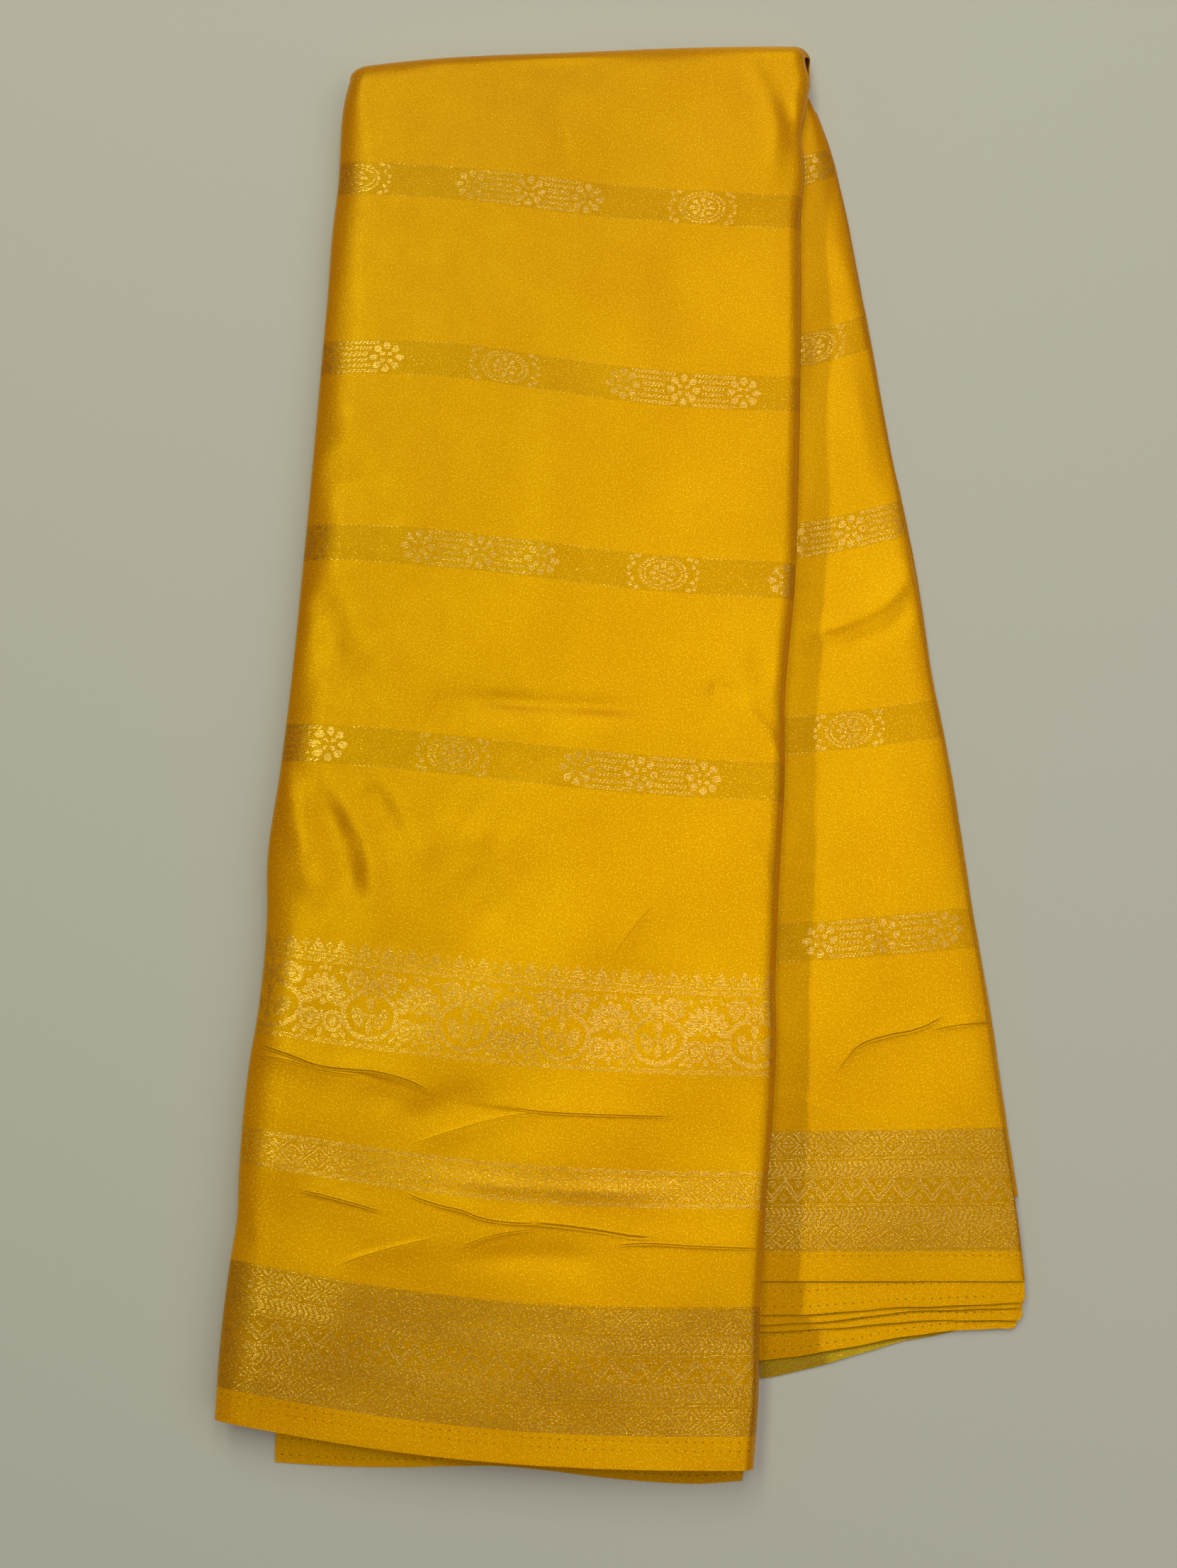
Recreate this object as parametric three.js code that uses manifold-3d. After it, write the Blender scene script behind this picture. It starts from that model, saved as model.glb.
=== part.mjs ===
// A saree folded into a long flat pack and laid on a table.
//
// Millimetres, +Z up. The pack rests on z = 0. +Y runs along the pack from the selvedge end to the
// top fold, and +X points to the side where the lower half of the pack is fanned out. The origin is on
// the table under the middle of the pack.
//
// The pack is folded once across its length, over the top fold: an upper half (the front panel, with
// its long folds at the left and right) lies on a lower half that is turned out to the right. Each leaf
// that shows is a wall of cloth; the leaves inside are one solid of slabs, layered at its edges.

import * as THREE from 'three';
import { mergeVertices } from 'three/addons/utils/BufferGeometryUtils.js';
import Module from 'manifold-3d';

const wasm = await Module();
wasm.setup();

// ---------------------------------------------------------------------------------------------
// Driving sizes
// ---------------------------------------------------------------------------------------------

const LEAF = 1.0; // wall of a leaf, with the air that it holds
const SEAM = 0.3; // gap between pieces that touch
const levelZ = (count) => count * (LEAF + SEAM); // underside of the leaf that has `count` below it

const SIDE_LEVEL = 5; // the side leaf lies on five others
const SIDE_TOP = levelZ(SIDE_LEVEL) + LEAF;
const UPPER_UNDER = levelZ(SIDE_LEVEL + 1); // underside of the upper half
const FRONT_TOP = 16.6; // top of the front panel beside its long folds
const FRONT_CROWN = 0.9; // how much higher its middle is
const FOLD_RADIUS = (FRONT_TOP - UPPER_UNDER) / 2; // long folds, outside
const TURN_IN = 8; // flat stretch of the front leaf under each long fold
const NOSE_RADIUS = FRONT_TOP / 2; // top fold, outside
const NOSE_RETURN = 8; // flat stretch of the front leaf on the table, past the top fold
const NOSE_SIDE_LENGTH = 6; // how far the long folds reach round the top fold's ends
const NOSE_SHIFT = 3.2; // the leaf moves right as it goes over the top fold

// Corners of the front panel's outline, before its edges bow
const FRONT = {
  hemLeft: { x: -142.3, y: -250.1 },
  hemRight: { x: 62.4, y: -267.8 },
  topLeft: { x: -105.6, y: 330.7 },
  topRight: { x: 96.2, y: 341.6 },
};

// along: share of the way from the hem to the top fold. left, right: how far that edge bows out.
// sag: how far the cloth between the edges hangs towards the hem. swing: the same, as an S.
const frontBows = [
  { along: 0.0, left: 0.0, right: 0.0, sag: 5.5, swing: 0.0 },
  { along: 0.04, left: 0.9, right: 1.0, sag: 6.0, swing: 0.0 },
  { along: 0.1, left: 0.4, right: 0.5, sag: 6.2, swing: 0.0 },
  { along: 0.125, left: -0.5, right: 1.0, sag: 6.0, swing: 0.0 },
  { along: 0.16, left: 0.7, right: 1.5, sag: 5.6, swing: 0.0 },
  { along: 0.23, left: 1.0, right: 3.4, sag: 4.6, swing: 0.0 },
  { along: 0.265, left: -0.3, right: 3.5, sag: 4.2, swing: 0.0 },
  { along: 0.3, left: -0.6, right: 2.4, sag: 3.8, swing: -0.1 },
  { along: 0.33, left: 0.0, right: 2.4, sag: 3.2, swing: -0.3 },
  { along: 0.37, left: 2.2, right: 2.7, sag: 2.4, swing: -0.6 },
  { along: 0.44, left: 0.8, right: 3.6, sag: 1.3, swing: -0.9 },
  { along: 0.49, left: 0.2, right: 2.7, sag: 0.8, swing: -1.2 },
  { along: 0.58, left: 0.3, right: 5.4, sag: 0.3, swing: -1.6 },
  { along: 0.65, left: 0.6, right: 5.5, sag: 0.3, swing: -2.2 },
  { along: 0.73, left: 1.3, right: 5.0, sag: 0.4, swing: -2.8 },
  { along: 0.8, left: 1.8, right: 4.1, sag: 0.9, swing: -2.4 },
  { along: 0.86, left: 2.7, right: 3.0, sag: 1.6, swing: -1.8 },
  { along: 0.9, left: 2.3, right: 4.0, sag: 1.6, swing: -1.5 },
  { along: 0.925, left: 3.0, right: 1.9, sag: 1.3, swing: -1.0 },
  { along: 0.95, left: 3.7, right: 4.0, sag: 0.8, swing: -0.6 },
  { along: 0.97, left: 3.3, right: 4.9, sag: 0.4, swing: -0.2 },
  { along: 0.985, left: 2.0, right: 2.6, sag: 0.1, swing: 0.0 },
  { along: 1.0, left: 0.4, right: 2.4, sag: 0.0, swing: 0.0 },
];

// The side leaf: the straight line that its right fold bows out from, and the hidden edge that lies
// this far inside the front panel's right edge
const SIDE = { hem: { x: 170.6, y: -199.9 }, top: { x: 100.4, y: 318.0 }, tuck: 16 };

// bow: how far the right fold stands out. lead: how far the cloth at the fold has run ahead.
const sideBows = [
  { along: 0.0, bow: 0.0, lead: 0.0 },
  { along: 0.04, bow: 1.4, lead: 0.6 },
  { along: 0.12, bow: 3.2, lead: 2.0 },
  { along: 0.2, bow: 4.8, lead: 5.5 },
  { along: 0.3, bow: 5.5, lead: 7.8 },
  { along: 0.42, bow: 7.0, lead: 8.5 },
  { along: 0.47, bow: 6.4, lead: 9.5 },
  { along: 0.55, bow: 8.0, lead: 12.0 },
  { along: 0.6, bow: 7.8, lead: 12.6 },
  { along: 0.66, bow: 6.8, lead: 12.2 },
  { along: 0.8, bow: 6.8, lead: 11.5 },
  { along: 0.9, bow: 6.3, lead: 9.0 },
  { along: 0.95, bow: 5.0, lead: 5.0 },
  { along: 0.975, bow: 3.2, lead: 2.0 },
  { along: 1.0, bow: 0.6, lead: 0.0 },
];

// Selvedges of the leaves under the side leaf, from the highest down. level: leaves below it.
// near, middle, far: Y of the selvedge beside the front panel, half way and at the right fold.
// reach: X of its right end. tuck: how far it runs in under the front panel.
const steppedLeaves = [
  { name: 'side_leaf_2', level: 4, near: -212.7, middle: -210.6, far: -208.2, reach: 170.2, tuck: 10 },
  { name: 'side_leaf_3', level: 3, near: -216.6, middle: -212.6, far: -209.9, reach: 169.8, tuck: 10 },
  { name: 'side_leaf_4', level: 2, near: -219.5, middle: -215.8, far: -214.6, reach: 169.4, tuck: 10 },
  { name: 'side_leaf_5', level: 1, near: -230.1, middle: -222.4, far: -218.0, reach: 167.3, tuck: 10 },
  { name: 'side_leaf_6', level: 0, near: -236.5, middle: -225.6, far: -217.6, reach: 165.0, tuck: -1.6 },
];
const STEP_BACK = -168; // Y where the stepped leaves end and the hidden layers take over
const STEP_MIDDLE = 0.45; // share of the way along a stepped selvedge where it turns
const STEP_LIFT = 6; // length over which its inner end has turned back up
const UNDER_LEAF_EDGE = 2.7; // the bottom leaf's right edge lies this far inside the front panel's
const UNDER_LEAF_INSET = 6; // its left edge keeps this far inside the front panel's, or further
const UNDER_CORNERS = { right: 12, left: 12 }; // how far up from its selvedge its side edges start
const UNDER_CLEAR = 2; // it stops this far short of the front leaf's end on the table

// Selvedge of the bottom leaf
const underHem = [
  { x: -120.6, y: -267.4 },
  { x: -73.7, y: -269.3 },
  { x: -35.6, y: -268.7 },
  { x: 5.0, y: -272.8 },
  { x: 42.0, y: -275.2 },
  { x: 59.0, y: -274.1 },
];

// The largest folds that rise from or sink into the panels. rise: height of the fold, below 0 for a
// trough. wide: half its width. path: where its line runs.
const frontFolds = [
  { rise: -1.1, wide: 9, path: [{ x: -118, y: -4 }, { x: -103, y: -24 }, { x: -90, y: -56 }] },
  { rise: 0.7, wide: 10, path: [{ x: -98, y: 2 }, { x: -84, y: -26 }, { x: -72, y: -54 }] },
  { rise: -0.9, wide: 7, path: [{ x: -70, y: 31 }, { x: -21, y: 31 }, { x: 36, y: 28 }] },
  { rise: 0.8, wide: 9, path: [{ x: -62, y: 18 }, { x: -15, y: 17 }, { x: 34, y: 14 }] },
  { rise: -0.7, wide: 10, path: [{ x: -52, y: 2 }, { x: -42, y: -34 }, { x: -46, y: -58 }] },
  { rise: -0.8, wide: 8, path: [{ x: -112, y: 130 }, { x: -92, y: 112 }, { x: -74, y: 104 }] },
  { rise: -0.8, wide: 8, path: [{ x: -114, y: 82 }, { x: -98, y: 68 }, { x: -80, y: 52 }] },
  { rise: -0.9, wide: 7, path: [{ x: 84, y: 308 }, { x: 88, y: 292 }] },
  { rise: -0.8, wide: 6, path: [{ x: -66, y: -168 }, { x: -34, y: -178 }, { x: 26, y: -183 }] },
  { rise: -0.8, wide: 6, path: [{ x: -132, y: -109 }, { x: -100, y: -118 }, { x: -62, y: -128 }] },
];
const sideFolds = [
  { rise: 1.3, wide: 8, path: [{ x: 92, y: 72 }, { x: 112, y: 78 }, { x: 134, y: 96 }] },
  { rise: 0.8, wide: 7, path: [{ x: 106, y: -122 }, { x: 122, y: -112 }, { x: 152, y: -106 }] },
  { rise: 0.6, wide: 10, path: [{ x: 128, y: 30 }, { x: 140, y: -30 }] },
];

// The hidden layers: how far each is set back, so that it lies clear of the leaf round it
const HIDDEN = {
  stackHeight: 5.5, // inner leaves inside the long folds, all together
  stackSlabs: 4,
  foldClear: 0.4, // inside the long folds, beside the seam's gap
  noseClear: 1, // inside the top fold
  upperHem: 2.2, // selvedges inside the front panel's...
  upperUneven: 0.6, // ...and every second one this much more
  webClear: 1, // web beside the turned-in edges
  webHem: 6,
  lowerInset: 5, // lower half, inside the front panel's left edge...
  lowerRounding: 0.35, // ...and this much more for each level from its middle, squared
  lowerMiddle: 3,
  lowerRight: 10.6, // inside the front panel's right edge, clear of the stepped leaves' tucks
  lowerHem: 4,
  lowerUneven: 0.7,
  tuckClear: 0.6, // beside the side leaf's hidden edge
  fanInner: 40, // fanned slabs start this far inside the front panel's right edge
  fanTop: 316, // Y where they end
  fanInset: 0.5, // inside the right fold...
  fanUneven: 0.3, // ...and every second one this much more
  fanLowestOut: 1.0, // the lowest two stand out past it
  bottomOut: 0.4,
  join: 0.1, // how far slabs reach into each other
};

const SATIN = { color: 0xdca010, roughness: 0.42, metalness: 0.0 };
const SATIN_REVERSE = { color: 0xb98712, roughness: 0.6, metalness: 0.0 };

// ---------------------------------------------------------------------------------------------
// The plan of the pack
// ---------------------------------------------------------------------------------------------

const mix = (a, b, share) => a + (b - a) * share;

/** Value of a column at `along`, eased from row to row of a table. */
function fromTable(table, column, along) {
  const next = table.findIndex((row) => row.along >= along);
  if (next <= 0) return next === 0 ? table[0][column] : table.at(-1)[column];
  const before = table[next - 1];
  const after = table[next];
  const share = (along - before.along) / (after.along - before.along);
  return mix(before[column], after[column], (share + THREE.MathUtils.smoothstep(share, 0, 1)) / 2);
}

/** Share of the way to the top fold at which the long edge of that side starts to turn over it. */
function noseStart(side) {
  const hem = side === 'left' ? FRONT.hemLeft : FRONT.hemRight;
  const top = side === 'left' ? FRONT.topLeft : FRONT.topRight;
  return 1 - NOSE_RADIUS / (top.y - hem.y);
}

/** Point of a long edge of the front panel. */
function frontEdge(side, along) {
  const left = side === 'left';
  const hem = left ? FRONT.hemLeft : FRONT.hemRight;
  const top = left ? FRONT.topLeft : FRONT.topRight;
  const out = fromTable(frontBows, side, along) * (left ? -1 : 1);
  return { x: mix(hem.x, top.x, along) + out, y: mix(hem.y, top.y, along) };
}

/** Point of the front panel in plan. across: 0 at the left fold, 1 at the right. flat: 0 at the hem,
 *  1 where the top fold starts. */
function frontPlan(across, flat) {
  const left = frontEdge('left', flat * noseStart('left'));
  const right = frontEdge('right', flat * noseStart('right'));
  const sag = fromTable(frontBows, 'sag', flat) * Math.sin(Math.PI * across);
  const swing = fromTable(frontBows, 'swing', flat) * Math.sin(2 * Math.PI * across);
  return { x: mix(left.x, right.x, across), y: mix(left.y, right.y, across) - sag - swing };
}

/** X of the front panel's right edge at a given Y. */
function frontRightX(y) {
  const along = (y - FRONT.hemRight.y) / (FRONT.topRight.y - FRONT.hemRight.y);
  return frontEdge('right', THREE.MathUtils.clamp(along, 0, 1)).x;
}

/** Point of the side leaf's right fold. */
function sideEdge(along) {
  return {
    x: mix(SIDE.hem.x, SIDE.top.x, along) + fromTable(sideBows, 'bow', along),
    y: mix(SIDE.hem.y, SIDE.top.y, along),
  };
}

/** X of the side leaf's right fold at a given Y. */
function sideRightX(y) {
  const along = (y - SIDE.hem.y) / (SIDE.top.y - SIDE.hem.y);
  return sideEdge(THREE.MathUtils.clamp(along, 0, 1)).x;
}

/** Height that the folds in a list add at a point: each is a soft ridge along its path. */
function foldRelief(folds, x, y) {
  let height = 0;
  for (const fold of folds) {
    let nearest = Infinity;
    for (let i = 1; i < fold.path.length; i += 1) {
      const a = fold.path[i - 1];
      const b = fold.path[i];
      const length2 = (b.x - a.x) ** 2 + (b.y - a.y) ** 2;
      const dot = (x - a.x) * (b.x - a.x) + (y - a.y) * (b.y - a.y);
      const share = THREE.MathUtils.clamp(dot / length2, 0, 1);
      const distance = Math.hypot(x - mix(a.x, b.x, share), y - mix(a.y, b.y, share));
      nearest = Math.min(nearest, distance);
    }
    height += fold.rise * Math.exp(-((nearest / fold.wide) ** 2) * 2);
  }
  return height;
}

// ---------------------------------------------------------------------------------------------
// Walls of cloth
// ---------------------------------------------------------------------------------------------

/** Closed wall from rows of outer points: the inner points lie LEAF behind the outer ones. */
function wallGeometry(rows) {
  const rowCount = rows.length;
  const columnCount = rows[0].length;
  const { clamp } = THREE.MathUtils;
  const at = (r, c) => rows[clamp(r, 0, rowCount - 1)][clamp(c, 0, columnCount - 1)];
  const outer = [];
  const inner = [];
  for (let r = 0; r < rowCount; r += 1) {
    for (let c = 0; c < columnCount; c += 1) {
      const across = at(r, c + 1).clone().sub(at(r, c - 1));
      const along = at(r + 1, c).clone().sub(at(r - 1, c));
      const normal = across.cross(along).normalize();
      outer.push(at(r, c));
      inner.push(at(r, c).clone().addScaledVector(normal, -LEAF));
    }
  }
  const positions = [...outer, ...inner].flatMap((point) => point.toArray());
  const behind = rowCount * columnCount;
  const index = (r, c) => r * columnCount + c;
  const triangles = [];
  for (let r = 1; r < rowCount; r += 1) {
    for (let c = 1; c < columnCount; c += 1) {
      const a = index(r - 1, c - 1);
      const b = index(r - 1, c);
      const d = index(r, c - 1);
      const e = index(r, c);
      triangles.push(a, b, e, a, e, d);
      triangles.push(a + behind, e + behind, b + behind, a + behind, d + behind, e + behind);
    }
  }
  const rim = [];
  for (let c = 0; c < columnCount - 1; c += 1) rim.push(index(0, c));
  for (let r = 0; r < rowCount - 1; r += 1) rim.push(index(r, columnCount - 1));
  for (let c = columnCount - 1; c > 0; c -= 1) rim.push(index(rowCount - 1, c));
  for (let r = rowCount - 1; r > 0; r -= 1) rim.push(index(r, 0));
  rim.forEach((from, i) => {
    const to = rim[(i + 1) % rim.length];
    triangles.push(from, from + behind, to + behind, from, to + behind, to);
  });
  const geometry = new THREE.BufferGeometry();
  geometry.setAttribute('position', new THREE.Float32BufferAttribute(positions, 3));
  geometry.setIndex(triangles);
  geometry.computeVertexNormals();
  return geometry;
}

// ---------------------------------------------------------------------------------------------
// The front leaf
// ---------------------------------------------------------------------------------------------

const FLAT_ROWS = 32;
const NOSE_ROWS = 8;
const TOP_COLUMNS = 18;
const SIDE_COLUMNS = 8;
const NOSE_TAPER = 0.95; // share of the way at which the turned-in sides start to shorten
const SHIFT_FROM = 0.3; // turn round the top fold, in radians, where the shift to the right starts
const SHIFT_TO = 1.8; // and where it is done
const flatShares = Array.from({ length: FLAT_ROWS + 1 }, (_, i) => i / FLAT_ROWS);

/** How far inward and how deep the leaf has got, after `length` round a long fold. */
function roundLongFold(length) {
  const half = Math.PI * FOLD_RADIUS;
  if (length > half) return { inward: FOLD_RADIUS + length - half, depth: 2 * FOLD_RADIUS };
  const turn = length / FOLD_RADIUS;
  return { inward: FOLD_RADIUS * (1 - Math.sin(turn)), depth: FOLD_RADIUS * (1 - Math.cos(turn)) };
}

/** The leaf's cross-section, from the end of its left turn-in to the end of its right one. */
function frontSection(width, sideLength) {
  const section = [];
  for (let i = SIDE_COLUMNS; i > 0; i -= 1) {
    const { inward, depth } = roundLongFold((sideLength * i) / SIDE_COLUMNS);
    section.push({ across: inward / width, depth });
  }
  for (let i = 0; i <= TOP_COLUMNS; i += 1) {
    section.push({ across: mix(FOLD_RADIUS, width - FOLD_RADIUS, i / TOP_COLUMNS) / width, depth: 0 });
  }
  for (let i = 1; i <= SIDE_COLUMNS; i += 1) {
    const { inward, depth } = roundLongFold((sideLength * i) / SIDE_COLUMNS);
    section.push({ across: 1 - inward / width, depth });
  }
  return section;
}

const crown = (across) => FRONT_CROWN * (1 - (2 * across - 1) ** 4);

function frontLeafRows() {
  const fullSide = Math.PI * FOLD_RADIUS + TURN_IN;
  const width = FRONT.hemRight.x - FRONT.hemLeft.x;
  const rows = flatShares.map((flat) => {
    const taper = THREE.MathUtils.smoothstep(flat, NOSE_TAPER, 1);
    return frontSection(width, mix(fullSide, NOSE_SIDE_LENGTH, taper)).map(({ across, depth }) => {
      const { x, y } = frontPlan(across, flat);
      const relief = depth === 0 ? foldRelief(frontFolds, x, y) : 0;
      return new THREE.Vector3(x, y, FRONT_TOP + crown(across) * (depth === 0 ? 1 : 0) + relief - depth);
    });
  });
  for (let i = 1; i <= NOSE_ROWS + 1; i += 1) {
    const turn = Math.PI * Math.min(1, i / NOSE_ROWS);
    const past = i > NOSE_ROWS ? NOSE_RETURN : 0;
    const shift = NOSE_SHIFT * THREE.MathUtils.smoothstep(turn, SHIFT_FROM, SHIFT_TO);
    rows.push(
      frontSection(width, NOSE_SIDE_LENGTH).map(({ across, depth }) => {
        const start = frontPlan(across, 1);
        const radius = NOSE_RADIUS - depth + (depth === 0 ? crown(across) * Math.cos(turn / 2) ** 2 : 0);
        return new THREE.Vector3(
          start.x + shift * across,
          start.y + radius * Math.sin(turn) - past,
          NOSE_RADIUS + radius * Math.cos(turn),
        );
      }),
    );
  }
  return rows;
}

// ---------------------------------------------------------------------------------------------
// The side leaf and the stepped leaves below it
// ---------------------------------------------------------------------------------------------

const SIDE_ROWS = 30;
const SIDE_LEAF_COLUMNS = 12;
const LEAD_POWER = 1.5; // how the lead grows across the side leaf
const COVER_FROM = 1; // distance from the front panel where the side leaf's folds start
const COVER_TO = 9; // and where they are at full height
const FOLD_FADE = 0.6; // how much of their height they lose at the right fold...
const FOLD_FADE_FROM = 0.85; // ...from this share of the way across

/** Point of the side leaf in plan. across: 0 at its hidden edge, 1 at its right fold. */
function sidePlan(across, along) {
  const length = SIDE.top.y - SIDE.hem.y;
  const ahead = Math.min(1, along + fromTable(sideBows, 'lead', along) / length);
  const right = sideEdge(ahead);
  const y = mix(SIDE.hem.y, SIDE.top.y, along);
  return { x: mix(frontRightX(y) - SIDE.tuck, right.x, across), y: mix(y, right.y, across ** LEAD_POWER) };
}

function sideLeafRows() {
  const rows = [];
  for (let r = 0; r <= SIDE_ROWS; r += 1) {
    const row = [];
    for (let c = 0; c <= SIDE_LEAF_COLUMNS; c += 1) {
      const across = c / SIDE_LEAF_COLUMNS;
      const { x, y } = sidePlan(across, r / SIDE_ROWS);
      const cover = THREE.MathUtils.smoothstep(x - frontRightX(y), COVER_FROM, COVER_TO);
      const fold = 1 - THREE.MathUtils.smoothstep(across, FOLD_FADE_FROM, 1) * FOLD_FADE;
      row.push(new THREE.Vector3(x, y, SIDE_TOP + foldRelief(sideFolds, x, y) * cover * fold));
    }
    rows.push(row);
  }
  return rows;
}

const steppedLeft = (leaf, y) => frontRightX(y) - leaf.tuck;

const CORNER_RADIUS = 1.5;
const CORNER_STEPS = 4;

/** Outline of a stepped leaf, counter-clockwise from the inner end of its selvedge. */
function steppedOutline(leaf) {
  const inner = steppedLeft(leaf, leaf.near);
  const middleX = mix(inner, leaf.reach, STEP_MIDDLE);
  const slope = (leaf.near - leaf.middle) / (FRONT.hemRight.x - middleX);
  const shape = new THREE.Shape();
  shape.moveTo(inner, leaf.near + slope * (inner - FRONT.hemRight.x - STEP_LIFT));
  shape.lineTo(middleX, leaf.middle);
  shape.lineTo(leaf.reach - CORNER_RADIUS, leaf.far);
  shape.quadraticCurveTo(leaf.reach, leaf.far, leaf.reach, leaf.far + CORNER_RADIUS);
  const edge = leaf.reach - sideRightX(leaf.far);
  shape.lineTo(sideRightX(STEP_BACK - SEAM) + edge, STEP_BACK - SEAM);
  shape.lineTo(steppedLeft(leaf, STEP_BACK), STEP_BACK - SEAM);
  return shape;
}

// ---------------------------------------------------------------------------------------------
// The bottom leaf and the hidden layers
// ---------------------------------------------------------------------------------------------

/** Y in which the hidden layers end at the top fold, at a height inside the front leaf. */
function noseReach(side, z) {
  const radius = NOSE_RADIUS - LEAF - SEAM;
  const start = frontEdge(side, noseStart(side)).y;
  return start + Math.sqrt(Math.max(0, radius ** 2 - (z - NOSE_RADIUS) ** 2));
}

/** Points up the right edge of the front panel, inset, from the hem to the top fold. */
function rightEdgePoints(inset) {
  return flatShares.map((flat) => frontPlan(1, flat)).map(({ x, y }) => new THREE.Vector2(x - inset, y));
}

function leftEdgePoints(inset) {
  return flatShares.map((flat) => frontPlan(0, flat)).map(({ x, y }) => new THREE.Vector2(x + inset, y));
}

const CORNER_CUT = 5; // the inner leaves' corners at the top fold are cut off by this much...
const CORNER_LENGTH = 34; // ...over this length

/** Outline of one slab of the front panel's inner leaves. left, right, hem, nose: how far it is set back
 *  from the panel's edges and from the front leaf at the top fold. z: height at which that counts. */
function frontSlab({ left, right, hem, nose, z }) {
  const lefts = leftEdgePoints(left);
  const rights = rightEdgePoints(right);
  const hemPoints = [];
  const hemColumns = 8;
  for (let i = 0; i <= hemColumns; i += 1) {
    const across = mix(left, FRONT.hemRight.x - FRONT.hemLeft.x - right, i / hemColumns);
    const point = frontPlan(across / (FRONT.hemRight.x - FRONT.hemLeft.x), 0);
    hemPoints.push(new THREE.Vector2(point.x, point.y + hem));
  }
  const rightEnd = { x: rights.at(-1).x - CORNER_CUT };
  const leftEnd = { x: lefts.at(-1).x + CORNER_CUT };
  for (const end of [leftEnd, rightEnd]) {
    const across = (end.x - FRONT.topLeft.x) / (FRONT.topRight.x - FRONT.topLeft.x);
    end.y = mix(noseReach('left', z), noseReach('right', z), across) - nose;
  }
  return new THREE.Shape([
    ...hemPoints,
    ...rights.filter(({ y }) => y > hemPoints.at(-1).y + 1 && y < rightEnd.y - CORNER_LENGTH),
    new THREE.Vector2(rightEnd.x, rightEnd.y),
    new THREE.Vector2(leftEnd.x, leftEnd.y),
    ...lefts.reverse().filter(({ y }) => y > hemPoints[0].y + 1 && y < leftEnd.y - CORNER_LENGTH),
  ]);
}

/** Outline of one slab of the fanned lower half's inner leaves, right of `innerX(y)`. */
function sideSlab({ innerX, right, back, front }) {
  const steps = 16;
  const inner = [];
  const outer = [];
  for (let i = 0; i <= steps; i += 1) {
    const y = mix(back, front, i / steps);
    inner.push(new THREE.Vector2(innerX(y), y));
    outer.push(new THREE.Vector2(Math.max(sideRightX(y) - right, innerX(y) + LEAST_WIDTH), y));
  }
  return new THREE.Shape([...outer, ...inner.reverse()]);
}

/** Solid of a shape between two heights. */
function slab(shape, low, high) {
  const geometry = new THREE.ExtrudeGeometry(shape, { depth: high - low, bevelEnabled: false });
  geometry.translate(0, 0, low);
  return toSolid(geometry);
}

function toSolid(source) {
  const bare = source.clone();
  bare.deleteAttribute('normal');
  bare.deleteAttribute('uv');
  const geometry = mergeVertices(bare, 1e-4);
  const mesh = new wasm.Mesh({
    numProp: 3,
    vertProperties: new Float32Array(geometry.attributes.position.array),
    triVerts: new Uint32Array(geometry.index.array),
  });
  return new wasm.Manifold(mesh);
}

function fromSolid(solid) {
  const mesh = solid.getMesh();
  const geometry = new THREE.BufferGeometry();
  geometry.setAttribute('position', new THREE.BufferAttribute(mesh.vertProperties, 3));
  geometry.setIndex(new THREE.BufferAttribute(mesh.triVerts, 1));
  geometry.computeVertexNormals();
  return geometry;
}

const NOSE_CLEAR = 13; // the lower inner leaves stop this far before the top fold's turned-in leaf
const BOTTOM_CLEAR = 1.5; // the bottom inner leaf lies this far beside the bottom leaf
const GROOVE = 0.8; // how far the gap between two inner leaves is set back
const LEAST_WIDTH = 2; // of a fanned slab, where the right fold runs in under the front panel

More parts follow.
